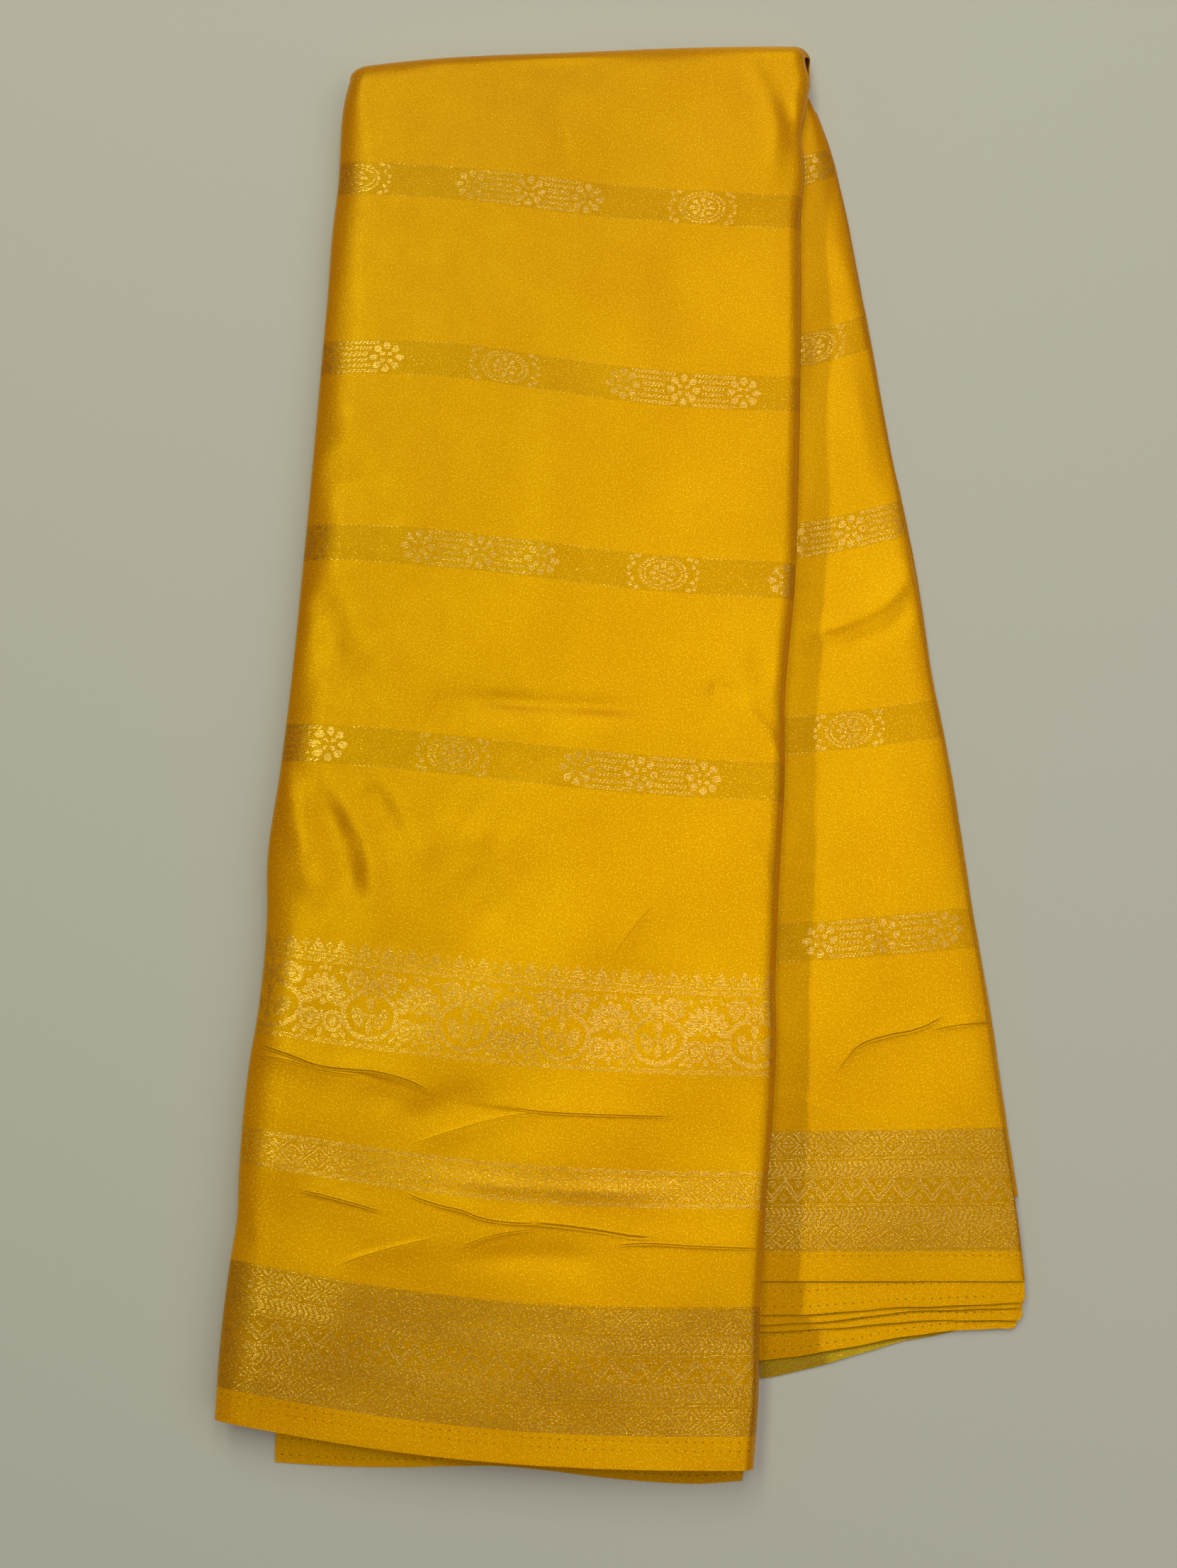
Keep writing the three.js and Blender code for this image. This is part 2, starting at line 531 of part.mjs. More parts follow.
function hiddenLayers() {
  const solids = [];
  const innerRadius = FOLD_RADIUS - LEAF - SEAM;
  const foldCentre = UPPER_UNDER + FOLD_RADIUS;

  // Inner leaves of the upper half, rounded to follow the long folds
  const upperLow = UPPER_UNDER + LEAF + SEAM;
  const upperPitch = HIDDEN.stackHeight / HIDDEN.stackSlabs;
  for (let i = 0; i < HIDDEN.stackSlabs; i += 1) {
    const low = upperLow + i * upperPitch;
    const high = low + upperPitch - SEAM;
    const off = Math.max(Math.abs(low - foldCentre), Math.abs(high - foldCentre));
    const inset = FOLD_RADIUS + HIDDEN.foldClear - Math.sqrt(Math.max(0, innerRadius ** 2 - off ** 2));
    const shape = (back) =>
      frontSlab({
        left: inset + back,
        right: inset + back,
        hem: HIDDEN.upperHem + HIDDEN.upperUneven * (i % 2) + back,
        nose: HIDDEN.noseClear + back,
        z: high,
      });
    solids.push(slab(shape(0), low, high));
    if (i === HIDDEN.stackSlabs - 1) continue;
    solids.push(slab(shape(GROOVE), high - HIDDEN.join, high + SEAM + HIDDEN.join));
  }

  // The web between the halves, clear of the front leaf's turned-in edges and the side leaf
  const web = frontSlab({
    left: FOLD_RADIUS + TURN_IN + HIDDEN.webClear,
    right: Math.max(FOLD_RADIUS + TURN_IN, SIDE.tuck) + HIDDEN.webClear,
    hem: HIDDEN.webHem,
    nose: HIDDEN.noseClear,
    z: UPPER_UNDER,
  });
  solids.push(slab(web, levelZ(SIDE_LEVEL) - SEAM - HIDDEN.join, upperLow + HIDDEN.join));

  // Inner leaves of the lower half, under the front panel and out to the right fold
  for (let level = 1; level <= SIDE_LEVEL; level += 1) {
    const low = levelZ(level);
    const high = low + LEAF;
    const isSide = level === SIDE_LEVEL;
    const round = HIDDEN.lowerInset + HIDDEN.lowerRounding * (level - HIDDEN.lowerMiddle) ** 2;
    const underSlab = (back) =>
      frontSlab({
        left: round + back,
        right: (isSide ? SIDE.tuck + HIDDEN.tuckClear : HIDDEN.lowerRight) + back,
        hem: HIDDEN.lowerHem + HIDDEN.lowerUneven * (level % 2) + back,
        nose: HIDDEN.noseClear + back,
        z: low,
      });
    solids.push(slab(underSlab(0), low, high));
    if (level > 1) solids.push(slab(underSlab(GROOVE), low - SEAM - HIDDEN.join, low + HIDDEN.join));
    if (isSide) continue;
    const foldSetBack = level === 1 ? -HIDDEN.fanLowestOut : HIDDEN.fanInset + HIDDEN.fanUneven * (level % 2);
    const fanned = (back) =>
      sideSlab({
        innerX: (y) => frontRightX(y) - HIDDEN.fanInner,
        right: foldSetBack + back,
        back: STEP_BACK + back,
        front: HIDDEN.fanTop - back,
      });
    solids.push(slab(fanned(0), low, high));
    if (level === SIDE_LEVEL - 1) continue;
    solids.push(slab(fanned(GROOVE), high - HIDDEN.join, high + SEAM + HIDDEN.join));
  }
  const bottom = sideSlab({
    innerX: (y) => frontRightX(y) - UNDER_LEAF_EDGE + BOTTOM_CLEAR,
    right: -HIDDEN.bottomOut,
    back: STEP_BACK,
    front: FRONT.topRight.y - NOSE_RADIUS - NOSE_CLEAR,
  });
  solids.push(slab(bottom, 0, LEAF));
  const bottomGroove = sideSlab({
    innerX: (y) => frontRightX(y) - UNDER_LEAF_EDGE + BOTTOM_CLEAR + GROOVE,
    right: GROOVE,
    back: STEP_BACK + GROOVE,
    front: FRONT.topRight.y - NOSE_RADIUS - NOSE_CLEAR - GROOVE,
  });
  solids.push(slab(bottomGroove, LEAF - HIDDEN.join, LEAF + SEAM + HIDDEN.join));

  return fromSolid(solids.reduce((whole, next) => whole.add(next)));
}

/** Outline of the bottom leaf. */
function underOutline() {
  const end = FRONT.topLeft.y - NOSE_RADIUS - NOSE_RETURN - UNDER_CLEAR;
  const between = (points, low) => points.filter(({ y }) => y > low && y < end);
  const rights = between(rightEdgePoints(UNDER_LEAF_EDGE), underHem.at(-1).y + UNDER_CORNERS.right);
  const lefts = between(leftEdgePoints(UNDER_LEAF_INSET), underHem[0].y + UNDER_CORNERS.left);
  return new THREE.Shape([
    ...underHem.map(({ x, y }) => new THREE.Vector2(x, y)),
    ...rights,
    ...lefts.reverse().map(({ x, y }) => new THREE.Vector2(Math.max(x, underHem[0].x), y)),
  ]);
}

// ---------------------------------------------------------------------------------------------
// The pack
// ---------------------------------------------------------------------------------------------

const pack = new THREE.Group();
pack.name = 'saree';

function addPiece(name, geometry, finish) {
  const mesh = new THREE.Mesh(geometry, new THREE.MeshStandardMaterial(finish));
  mesh.name = name;
  pack.add(mesh);
}

addPiece('front_leaf', wallGeometry(frontLeafRows()), SATIN);
addPiece('side_leaf', wallGeometry(sideLeafRows()), SATIN);
for (const leaf of steppedLeaves) {
  const options = { depth: LEAF, bevelEnabled: false, curveSegments: CORNER_STEPS };
  const geometry = new THREE.ExtrudeGeometry(steppedOutline(leaf), options);
  geometry.translate(0, 0, levelZ(leaf.level));
  addPiece(leaf.name, geometry, leaf.level === 0 ? SATIN_REVERSE : SATIN);
}
const underGeometry = new THREE.ExtrudeGeometry(underOutline(), { depth: LEAF, bevelEnabled: false });
addPiece('under_leaf', underGeometry, SATIN);
addPiece('hidden_layers', hiddenLayers(), SATIN);

export default pack;
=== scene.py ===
"""Looks of a folded saree: satin leaves as thin shells, woven zari as small metal floats."""

import math

import bpy
import numpy as np
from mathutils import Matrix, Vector


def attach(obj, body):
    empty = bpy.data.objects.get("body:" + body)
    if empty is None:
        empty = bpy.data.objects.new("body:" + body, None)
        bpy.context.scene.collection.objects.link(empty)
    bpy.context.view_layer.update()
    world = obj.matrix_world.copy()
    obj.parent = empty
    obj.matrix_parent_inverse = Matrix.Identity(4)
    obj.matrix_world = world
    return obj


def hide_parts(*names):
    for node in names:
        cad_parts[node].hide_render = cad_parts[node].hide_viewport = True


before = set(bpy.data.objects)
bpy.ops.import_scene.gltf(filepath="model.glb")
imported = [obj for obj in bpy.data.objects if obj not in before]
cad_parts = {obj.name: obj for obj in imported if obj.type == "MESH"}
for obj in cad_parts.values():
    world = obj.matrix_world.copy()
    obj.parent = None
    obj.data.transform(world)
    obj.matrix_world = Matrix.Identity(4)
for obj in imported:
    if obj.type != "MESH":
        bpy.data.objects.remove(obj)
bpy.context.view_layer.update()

MM = 0.001

# Named sizes of the pack, in millimetres, as in the part's source

LEAF = 1.0
SEAM = 0.3
SHEET = 0.5  # thickness of the cloth shells
SIDE_LEVEL = 5
SIDE_TOP = SIDE_LEVEL * (LEAF + SEAM) + LEAF
UPPER_UNDER = (SIDE_LEVEL + 1) * (LEAF + SEAM)
FRONT_TOP = 16.6
FRONT_CROWN = 0.9
FOLD_RADIUS = (FRONT_TOP - UPPER_UNDER) / 2
TURN_IN = 8
NOSE_RADIUS = FRONT_TOP / 2
NOSE_RETURN = 8
NOSE_SHIFT = 3.2
LEFT_RUN = 576  # length of cloth from the hem to the top fold, at the left edge
RUN_GAIN = 28  # how much more it is at the right edge
MEAN_RUN = 590
STEP_BACK = -168
UNDER_LEAF_EDGE = 2.7
DEEPEST = 0.75  # how far a trough may reach below FRONT_TOP, clear of the inner leaves
LEFT_SHOULDER = 16  # how far in from a long edge the leaf has risen to its full height
RIGHT_SHOULDER = 6

HEM_LEFT = (-142.3, -250.1)
HEM_RIGHT = (62.4, -267.8)
TOP_LEFT = (-105.6, 330.7)
TOP_RIGHT = (96.2, 341.6)
PANEL_WIDTH = HEM_RIGHT[0] - HEM_LEFT[0]

# along, left, right, sag, swing
FRONT_BOWS = np.array([
    (0.0, 0.0, 0.0, 5.5, 0.0),
    (0.04, 0.9, 1.0, 6.0, 0.0),
    (0.1, 0.4, 0.5, 6.2, 0.0),
    (0.125, -0.5, 1.0, 6.0, 0.0),
    (0.16, 0.7, 1.5, 5.6, 0.0),
    (0.23, 1.0, 3.4, 4.6, 0.0),
    (0.265, -0.3, 3.5, 4.2, 0.0),
    (0.3, -0.6, 2.4, 3.8, -0.1),
    (0.33, 0.0, 2.4, 3.2, -0.3),
    (0.37, 2.2, 2.7, 2.4, -0.6),
    (0.44, 0.8, 3.6, 1.3, -0.9),
    (0.49, 0.2, 2.7, 0.8, -1.2),
    (0.58, 0.3, 5.4, 0.3, -1.6),
    (0.65, 0.6, 5.5, 0.3, -2.2),
    (0.73, 1.3, 5.0, 0.4, -2.8),
    (0.8, 1.8, 4.1, 0.9, -2.4),
    (0.86, 2.7, 3.0, 1.6, -1.8),
    (0.9, 2.3, 4.0, 1.6, -1.5),
    (0.925, 3.0, 1.9, 1.3, -1.0),
    (0.95, 3.7, 4.0, 0.8, -0.6),
    (0.97, 3.3, 4.9, 0.4, -0.2),
    (0.985, 2.0, 2.6, 0.1, 0.0),
    (1.0, 0.4, 2.4, 0.0, 0.0),
])
LEFT, RIGHT, SAG, SWING = 1, 2, 3, 4

SIDE_HEM = (170.6, -199.9)
SIDE_END = (100.4, 318.0)
SIDE_TUCK = 16
SIDE_LENGTH = SIDE_END[1] - SIDE_HEM[1]
# along, bow, lead
SIDE_BOWS = np.array([
    (0.0, 0.0, 0.0),
    (0.04, 1.4, 0.6),
    (0.12, 3.2, 2.0),
    (0.2, 4.8, 5.5),
    (0.3, 5.5, 7.8),
    (0.42, 7.0, 8.5),
    (0.47, 6.4, 9.5),
    (0.55, 8.0, 12.0),
    (0.6, 7.8, 12.6),
    (0.66, 6.8, 12.2),
    (0.8, 6.8, 11.5),
    (0.9, 6.3, 9.0),
    (0.95, 5.0, 5.0),
    (0.975, 3.2, 2.0),
    (1.0, 0.6, 0.0),
])
BOW, LEAD = 1, 2

# share across, how far the top fold stands out there
TOP_BOW = np.array([
    (0.0, 0.0), (0.08, 1.1), (0.2, 2.2), (0.34, 2.3), (0.43, 2.0), (0.75, 1.5), (0.92, 0.6), (1.0, 0.0),
])

# Creases: rise, how far the cloth falls away left and right of the line, walking along it, and path (mm)

FRONT_CREASES = [
    # the slack left edge above the scroll band
    (-1.3, 7.0, 7.0, [(-125, 3), (-116, -2), (-108, -13), (-102, -28), (-97, -43), (-91, -56)]),
    (0.8, 8.0, 6.0, [(-125, -12), (-117, -24), (-112, -40), (-108, -56)]),
    (0.9, 4.5, 5.0, [(-110, 0), (-98, -15), (-90, -28), (-87, -44), (-83, -58)]),
    (-0.7, 4.0, 5.0, [(-90, -4), (-82, -16), (-79, -26)]),
    (0.8, 6.0, 6.0, [(-90, 8), (-76, -12), (-69, -26), (-68, -44)]),
    (-0.8, 8.0, 8.0, [(-69, -12), (-52, -15), (-38, -20), (-30, -28)]),
    (0.5, 5.0, 5.0, [(-51, -24), (-38.7, -28)]),
    (-0.8, 9.0, 9.0, [(-66, -35), (-56, -38), (-46, -49), (-36, -62)]),
    (0.6, 9.0, 9.0, [(-22, 4), (-10, -18), (-6, -40)]),
    # the fold across the middle, with the bulge below it
    (-1.1, 4.0, 2.4, [(-63, 33), (-50, 32.5), (-26.5, 30.5), (-3, 29), (20, 27.7), (37, 27.5)]),
    (-0.8, 4.0, 5.0, [(-66, 31), (-57, 28), (-46, 26)]),
    (1.0, 6.0, 10.0, [(-60, 18), (-26.4, 21), (14.5, 20), (36, 18)]),
    (-0.5, 9.0, 9.0, [(-67, 60), (-50, 64), (-43, 54)]),
    # the left shoulder, higher up
    (-1.0, 8.0, 8.0, [(-118, 84), (-112, 76), (-108, 66), (-107, 52), (-112, 38)]),
    (0.9, 7.0, 9.0, [(-106, 78), (-94, 62), (-84, 46), (-82, 34)]),
    (-0.8, 9.0, 10.0, [(-112, 144), (-103, 128), (-90, 112), (-78, 106)]),
    (0.6, 9.0, 9.0, [(-106, 158), (-92, 140), (-74, 128)]),
    # pressed creases between the bands
    (0.42, 5.0, 0.8, [
        (-132, -108.9), (-119, -113), (-105, -117.9), (-92, -119.3), (-77, -122.8), (-61, -128.3),
    ]),
    (0.35, 1.2, 4.0, [(-133.8, -113.5), (-120, -115.2), (-106, -119.3), (-89.5, -121.8)]),
    (0.36, 5.0, 0.8, [(-50, -131), (-31, -133.5), (-18, -135.5), (0, -136.5), (34, -137.4)]),
    (0.4, 1.2, 4.5, [(-69, -148.3), (-50, -142), (-29, -137), (-18, -136.1)]),
    (-0.8, 6.0, 7.0, [(-93, -128), (-81, -130), (-67, -136), (-50, -131), (-36, -138)]),
    (0.42, 4.5, 0.8, [(-111.6, -165.5), (-97.7, -168.6), (-80.4, -173.5)]),
    (0.48, 5.0, 0.7, [
        (-71.7, -166.2), (-57.8, -171), (-49.6, -173), (-41, -176), (-31.7, -177.5), (-7, -179.2),
        (25, -183.2),
    ]),
    (0.35, 4.0, 0.9, [(-49, -187), (-36, -182.2), (-21, -180.2)]),
    (0.4, 1.2, 4.5, [(-95.6, -193.4), (-82, -188.8), (-60, -183.5)]),
    (0.4, 5.0, 0.8, [(9.4, -186.8), (20, -185.5), (41, -186.4), (67, -187.4)]),
    (0.4, 3.0, 3.0, [(-62, -160), (-30, -164), (12, -166), (40, -165)]),
    (-0.6, 5.0, 5.0, [(-56, -192), (-20, -190), (6, -192)]),
    # short wrinkles by the right fold
    (-0.9, 3.0, 4.0, [(49, 38), (58, 35), (64, 31)]),
    (0.7, 2.6, 1.1, [(53, 35), (60, 31), (67, 26), (77, 14)]),
    (0.5, 2.4, 1.1, [(64, 25), (74, 16), (80, 5)]),
    (0.45, 2.4, 1.1, [(52, 13), (60, 11.5), (67, 10), (78, 4)]),
    (0.4, 1.6, 1.0, [(66, 32), (70, 32), (77, 31)]),
    (-0.7, 4.0, 4.0, [(66, 52), (72, 47), (76, 41)]),
    (0.5, 2.6, 1.2, [(62, -24), (69, -35), (74, -46)]),
    (0.45, 2.4, 1.3, [(64, -47), (71, -54), (76, -60)]),
    (0.4, 2.0, 0.9, [(25, -55), (18, -63), (11, -73)]),
    # the corner at the top right
    (-1.2, 2.6, 3.6, [(86, 311), (91.5, 299), (93, 286)]),
    (0.7, 4.0, 4.0, [(72, 330), (80, 312), (84, 296), (82, 276)]),
    (-0.5, 7, 7, [(90, 300), (92, 282), (90, 262)]),
    # soft shades elsewhere
    (-0.3, 2.0, 5.0, [(-15, 306), (-11, 293), (-9, 277)]),
    (-0.6, 3, 5, [(-137, -169), (-134, -181), (-132, -188)]),
    (-0.6, 3, 4, [(-136, -105), (-133, -114)]),
    (0.4, 10, 10, [(-20, 200), (-16, 120), (-20, 60)]),
    (-0.4, 12, 12, [(34, 270), (40, 180), (38, 90)]),
    (-0.4, 9, 9, [(8, -60), (14, -100), (10, -132)]),
    (0.4, 9, 9, [(-96, -140), (-92, -190), (-96, -240)]),
    (-0.4, 12, 12, [(-14, -200), (-12, -235), (-16, -262)]),
    (0.4, 10, 10, [(28, -200), (30, -235), (28, -262)]),
]

# Fine pressed lines in the cloth, bumped and darkened with painted shade: where each runs, and how strong and
# how wide it is (mm)
FRONT_PRESSED = [
    (1.0, 0.34, [
        (-131.9, -108.9), (-119.1, -113.1), (-104.9, -117.9), (-92.3, -119.3), (-83.9, -120.0),
        (-60.7, -128.3),
    ]),
    (0.5, 0.3, [(-133.8, -113.5), (-120.4, -115.2), (-106.3, -119.3), (-89.5, -121.8)]),
    (0.9, 0.3, [(-30.7, -133.5), (-18.2, -135.5), (-0.1, -136.5), (33.9, -137.4)]),
    (0.45, 0.3, [(-69.3, -148.3), (-50.1, -141.9), (-29.3, -136.9), (-18.2, -136.1)]),
    (0.9, 0.34, [
        (-71.7, -166.2), (-57.8, -171.1), (-49.6, -172.9), (-41.3, -175.9), (-31.7, -177.5),
        (-20.7, -177.8),
    ]),
    (1.0, 0.5, [(-20.7, -177.8), (-7.0, -179.2), (6.7, -181.1), (17.6, -182.8), (25.2, -183.2)]),
    (0.7, 0.3, [(-111.6, -165.5), (-97.7, -168.6), (-80.4, -173.5)]),
    (0.9, 0.3, [(9.4, -186.8), (20.4, -185.5), (40.9, -186.4), (66.8, -187.4)]),
    (0.5, 0.28, [(-95.6, -193.4), (-82.1, -188.8), (-60.3, -183.5)]),
    (0.5, 0.28, [(-49.3, -186.8), (-35.7, -182.2), (-20.7, -180.2)]),
    (0.5, 0.3, [(11.0, -73.0), (18.0, -63.0), (25.0, -55.0)]),
]
SIDE_PRESSED = [
    (0.9, 0.4, [(98, -122), (103, -115), (109, -109), (121, -105), (131, -103), (144, -97)]),
    (0.8, 0.34, [(139, -103), (150, -101), (162, -100)]),
]

SIDE_CREASES = [
    (1.0, 7, 2.0, [(86, 62), (96, 64), (111, 68), (126, 76), (137, 87), (142, 97)]),
    (-0.7, 2.5, 5, [(88, 54), (98, 57), (112, 60), (128, 67), (140, 80)]),
    (0.9, 5, 5, [(133, 102), (139, 93), (141, 77), (143, 60)]),
    (0.6, 4, 6, [(136, 140), (139, 110), (141, 80)]),
    (0.5, 4.0, 0.9, [(98, -122), (103, -115), (109, -109), (121, -105), (131, -103), (144, -97)]),
    (0.35, 3.0, 0.9, [(139, -103), (150, -101), (162, -100)]),
    (0.3, 1.2, 3.5, [(83, -128), (94, -133), (105, -139)]),
    (-0.4, 6, 6, [(104, -30), (120, -60), (128, -90)]),
    (0.4, 8, 8, [(120, 30), (132, -10), (140, -50)]),
    (-0.5, 5, 5, [(118, 200), (126, 160), (130, 120)]),
    (0.5, 5, 4, [(112, 250), (122, 210), (130, 170)]),
]


# Plan functions


def smooth(x, low, high):
    share = np.clip((np.asarray(x, float) - low) / (high - low), 0, 1)
    return share * share * (3 - 2 * share)


def through(table, column, along):
    """A table's column at `along`, on a smooth curve through its rows."""
    keys, values = table[:, 0], table[:, column]
    slopes = np.gradient(values, keys)
    along = np.clip(along, keys[0], keys[-1])
    i = np.clip(np.searchsorted(keys, along, side="right"), 1, len(keys) - 1)
    step = keys[i] - keys[i - 1]
    t = (along - keys[i - 1]) / step
    return (
        (2 * t**3 - 3 * t**2 + 1) * values[i - 1]
        + (t**3 - 2 * t**2 + t) * step * slopes[i - 1]
        + (3 * t**2 - 2 * t**3) * values[i]
        + (t**3 - t**2) * step * slopes[i]
    )


def front_edge(side, along):
    hem, top, sign = (HEM_LEFT, TOP_LEFT, -1) if side == LEFT else (HEM_RIGHT, TOP_RIGHT, 1)
    out = through(FRONT_BOWS, side, along) * sign
    return hem[0] + (top[0] - hem[0]) * along + out, hem[1] + (top[1] - hem[1]) * along


def edge_x(side, y):
    """X of the front panel's edge at a Y."""
    hem, top = (HEM_LEFT, TOP_LEFT) if side == LEFT else (HEM_RIGHT, TOP_RIGHT)
    return front_edge(side, np.clip((y - hem[1]) / (top[1] - hem[1]), 0, 1))[0]


def run_at(across):
    """Length of cloth from the hem to the top fold, at a share of the way across."""
    return LEFT_RUN + RUN_GAIN * np.clip(across, 0, 1)


def front_plan(across, flat):
    """Point of the front panel in plan: across 0..1 from the left, flat 0..1 from hem to top fold."""
    lx, ly = front_edge(LEFT, flat * (1 - NOSE_RADIUS / (TOP_LEFT[1] - HEM_LEFT[1])))
    rx, ry = front_edge(RIGHT, flat * (1 - NOSE_RADIUS / (TOP_RIGHT[1] - HEM_RIGHT[1])))
    sag = through(FRONT_BOWS, SAG, flat) * np.sin(np.pi * across)
    swing = through(FRONT_BOWS, SWING, flat) * np.sin(2 * np.pi * across)
    top_bow = through(TOP_BOW, 1, across) * smooth(flat, 0.9, 1)
    return lx + (rx - lx) * across, ly + (ry - ly) * across - sag - swing + top_bow


def side_edge(along):
    x = SIDE_HEM[0] + (SIDE_END[0] - SIDE_HEM[0]) * along + through(SIDE_BOWS, BOW, along)
    return x, SIDE_HEM[1] + SIDE_LENGTH * along


def side_right_x(y):
    return side_edge(np.clip((y - SIDE_HEM[1]) / SIDE_LENGTH, 0, 1))[0]


def bend(path, per_span=8):
    """Points on a smooth curve through a path's points."""
    points = np.array(path, float)
    padded = np.vstack([2 * points[0] - points[1], points, 2 * points[-1] - points[-2]])
    out = []
    for a, b, c, d in zip(padded, padded[1:], padded[2:], padded[3:]):
        for t in np.linspace(0, 1, per_span, endpoint=False):
            square, cube = 2 * a - 5 * b + 4 * c - d, 3 * b - a - 3 * c + d
            out.append(0.5 * (2 * b + (c - a) * t + square * t**2 + cube * t**3))
    out.append(points[-1])
    return np.array(out)


def spans(x, y, line):
    """For each span of a line: the points' distance, signed side, and how far along the line they are."""
    start = 0.0
    for a, b in zip(line[:-1], line[1:]):
        step = math.hypot(*(b - a))
        dx, dy = (b - a) / step
        along = np.clip((x - a[0]) * dx + (y - a[1]) * dy, 0, step)
        ox, oy = x - a[0] - along * dx, y - a[1] - along * dy
        yield np.hypot(ox, oy), dx * oy - dy * ox, start + along
        start += step


def crease_relief(creases, x, y):
    """Height that the creases add at each point."""
    height = np.zeros_like(x)
    for rise, soft, steep, path in creases:
        line = bend(path)
        reach = 2.4 * max(soft, steep)
        near = (
            (x > line[:, 0].min() - reach) & (x < line[:, 0].max() + reach)
            & (y > line[:, 1].min() - reach) & (y < line[:, 1].max() + reach)
        )
        if not near.any():
            continue
        px, py = x[near], y[near]
        best = np.full(px.shape, np.inf)
        side = np.zeros(px.shape)
        run = np.zeros(px.shape)
        total = np.hypot(*np.diff(line, axis=0).T).sum()
        for gap, turned, gone in spans(px, py, line):
            closer = gap < best
            best = np.where(closer, gap, best)
            side = np.where(closer, turned, side)
            run = np.where(closer, gone / total, run)
        width = np.where(side > 0, soft, steep)
        ends = np.clip(np.sin(np.pi * np.clip(run, 0.02, 0.98)) * 1.5, 0, 1) ** 0.8
        waver = 0.85 + 0.15 * np.sin(run * 17 + rise * 9)
        height[near] += rise * ends * waver * np.exp(-((best / width) ** 2))
    return height


def slack(x, y):
    """Slow unevenness of cloth that lies loose, in mm."""
    long_waves = 0.42 * np.sin(x / 13 + 1.3 * np.sin(y / 31)) * np.sin(y / 27 + 0.7)
    slanted = 0.3 * np.sin(x / 19 - y / 12 + 2.0)
    short = 0.10 * np.sin(x / 6.1 + y / 8.7) * np.sin(y / 7.3 - x / 17)
    return long_waves + slanted + short


def normals_of(points):
    normal = np.cross(np.gradient(points, axis=1), np.gradient(points, axis=0))
    return normal / np.maximum(np.linalg.norm(normal, axis=2, keepdims=True), 1e-9)


# Mesh making


def make_mesh(name, points, faces, uv=None, sharp=60):
    """Mesh object from points in mm, lists of faces with the same number of corners, and uv in mm."""
    mesh = bpy.data.meshes.new(name)
    faces = [np.asarray(group, np.int32) for group in faces if len(group)]
    corners = np.concatenate([group.ravel() for group in faces])
    totals = np.concatenate([np.full(len(group), group.shape[1], np.int32) for group in faces])
    mesh.vertices.add(len(points))
    mesh.vertices.foreach_set("co", (np.asarray(points, np.float32) * MM).ravel())
    mesh.loops.add(len(corners))
    mesh.loops.foreach_set("vertex_index", corners)
    mesh.polygons.add(len(totals))
    mesh.polygons.foreach_set("loop_start", np.concatenate([[0], np.cumsum(totals)[:-1]]).astype(np.int32))
    mesh.polygons.foreach_set("use_smooth", np.ones(len(totals), bool))
    if uv is not None:
        layer = mesh.uv_layers.new(name="cloth")
        layer.data.foreach_set("uv", (np.asarray(uv, np.float32)[corners] * MM).ravel())
    mesh.update(calc_edges=True)
    mesh.validate()
    if sharp:
        mesh.set_sharp_from_angle(angle=math.radians(sharp))
    piece = bpy.data.objects.new(name, mesh)
    bpy.context.scene.collection.objects.link(piece)
    return piece


def grid_quads(rows, columns, base=0):
    r, c = np.meshgrid(np.arange(rows - 1), np.arange(columns - 1), indexing="ij")
    a = (base + r * columns + c).ravel()
    return np.stack([a, a + 1, a + columns + 1, a + columns], axis=1)


def shell(name, outer, uv, thickness=SHEET, floor=0.02):
    """Closed thin shell whose outer side is the grid `outer`; its back has every second row and column."""
    outer, uv = odd_grid(outer), odd_grid(uv)
    outer[..., 2] = np.maximum(outer[..., 2], 0)
    rows, columns = outer.shape[:2]
    inner = (outer - normals_of(outer) * thickness)[::2, ::2]
    inner[..., 2] = np.maximum(inner[..., 2], floor)
    count = rows * columns
    front = grid_quads(rows, columns)
    back = grid_quads(*inner.shape[:2], count)[:, ::-1]
    index = np.arange(count).reshape(rows, columns)
    behind = count + np.arange(inner.shape[0] * inner.shape[1]).reshape(inner.shape[:2])
    fine, coarse = rim_of(index), rim_of(behind)
    a, b, c = fine[0::2], fine[1::2], np.roll(fine, -2)[0::2]
    d, e = coarse, np.roll(coarse, -1)
    edge = np.concatenate([np.stack(three, axis=1) for three in ((b, a, d), (b, d, e), (c, b, e))])
    points = np.concatenate([outer.reshape(-1, 3), inner.reshape(-1, 3)])
    both_uv = np.concatenate([uv.reshape(-1, 2), uv[::2, ::2].reshape(-1, 2)])
    return make_mesh(name, points, [front, back, edge], both_uv)


def odd_grid(grid):
    """The grid with an odd number of rows and columns: a line is added half way where one is missing."""
    for axis in (0, 1):
        half, odd = divmod(grid.shape[axis], 2)
        if not odd:
            grid = np.insert(grid, half, (grid.take(half - 1, axis) + grid.take(half, axis)) / 2, axis)
    return grid


def rim_of(index):
    return np.concatenate([index[0, :-1], index[:-1, -1], index[-1, :0:-1], index[:0:-1, 0]])


class Surface:
    """A leaf's grid of outer points, looked up by fractional row and column."""

    def __init__(self, outer):
        self.points = outer
        self.normals = normals_of(outer)

    def at(self, row, column):
        rows, columns = self.points.shape[:2]
        row = np.clip(row, 0, rows - 1.001)
        column = np.clip(column, 0, columns - 1.001)
        r, c = row.astype(int), column.astype(int)
        a, b = (row - r)[:, None], (column - c)[:, None]
        both = []
        for grid in (self.points, self.normals):
            low = grid[r, c] * (1 - b) + grid[r, c + 1] * b
            high = grid[r + 1, c] * (1 - b) + grid[r + 1, c + 1] * b
            both.append(low * (1 - a) + high * a)
        return both


# The front leaf


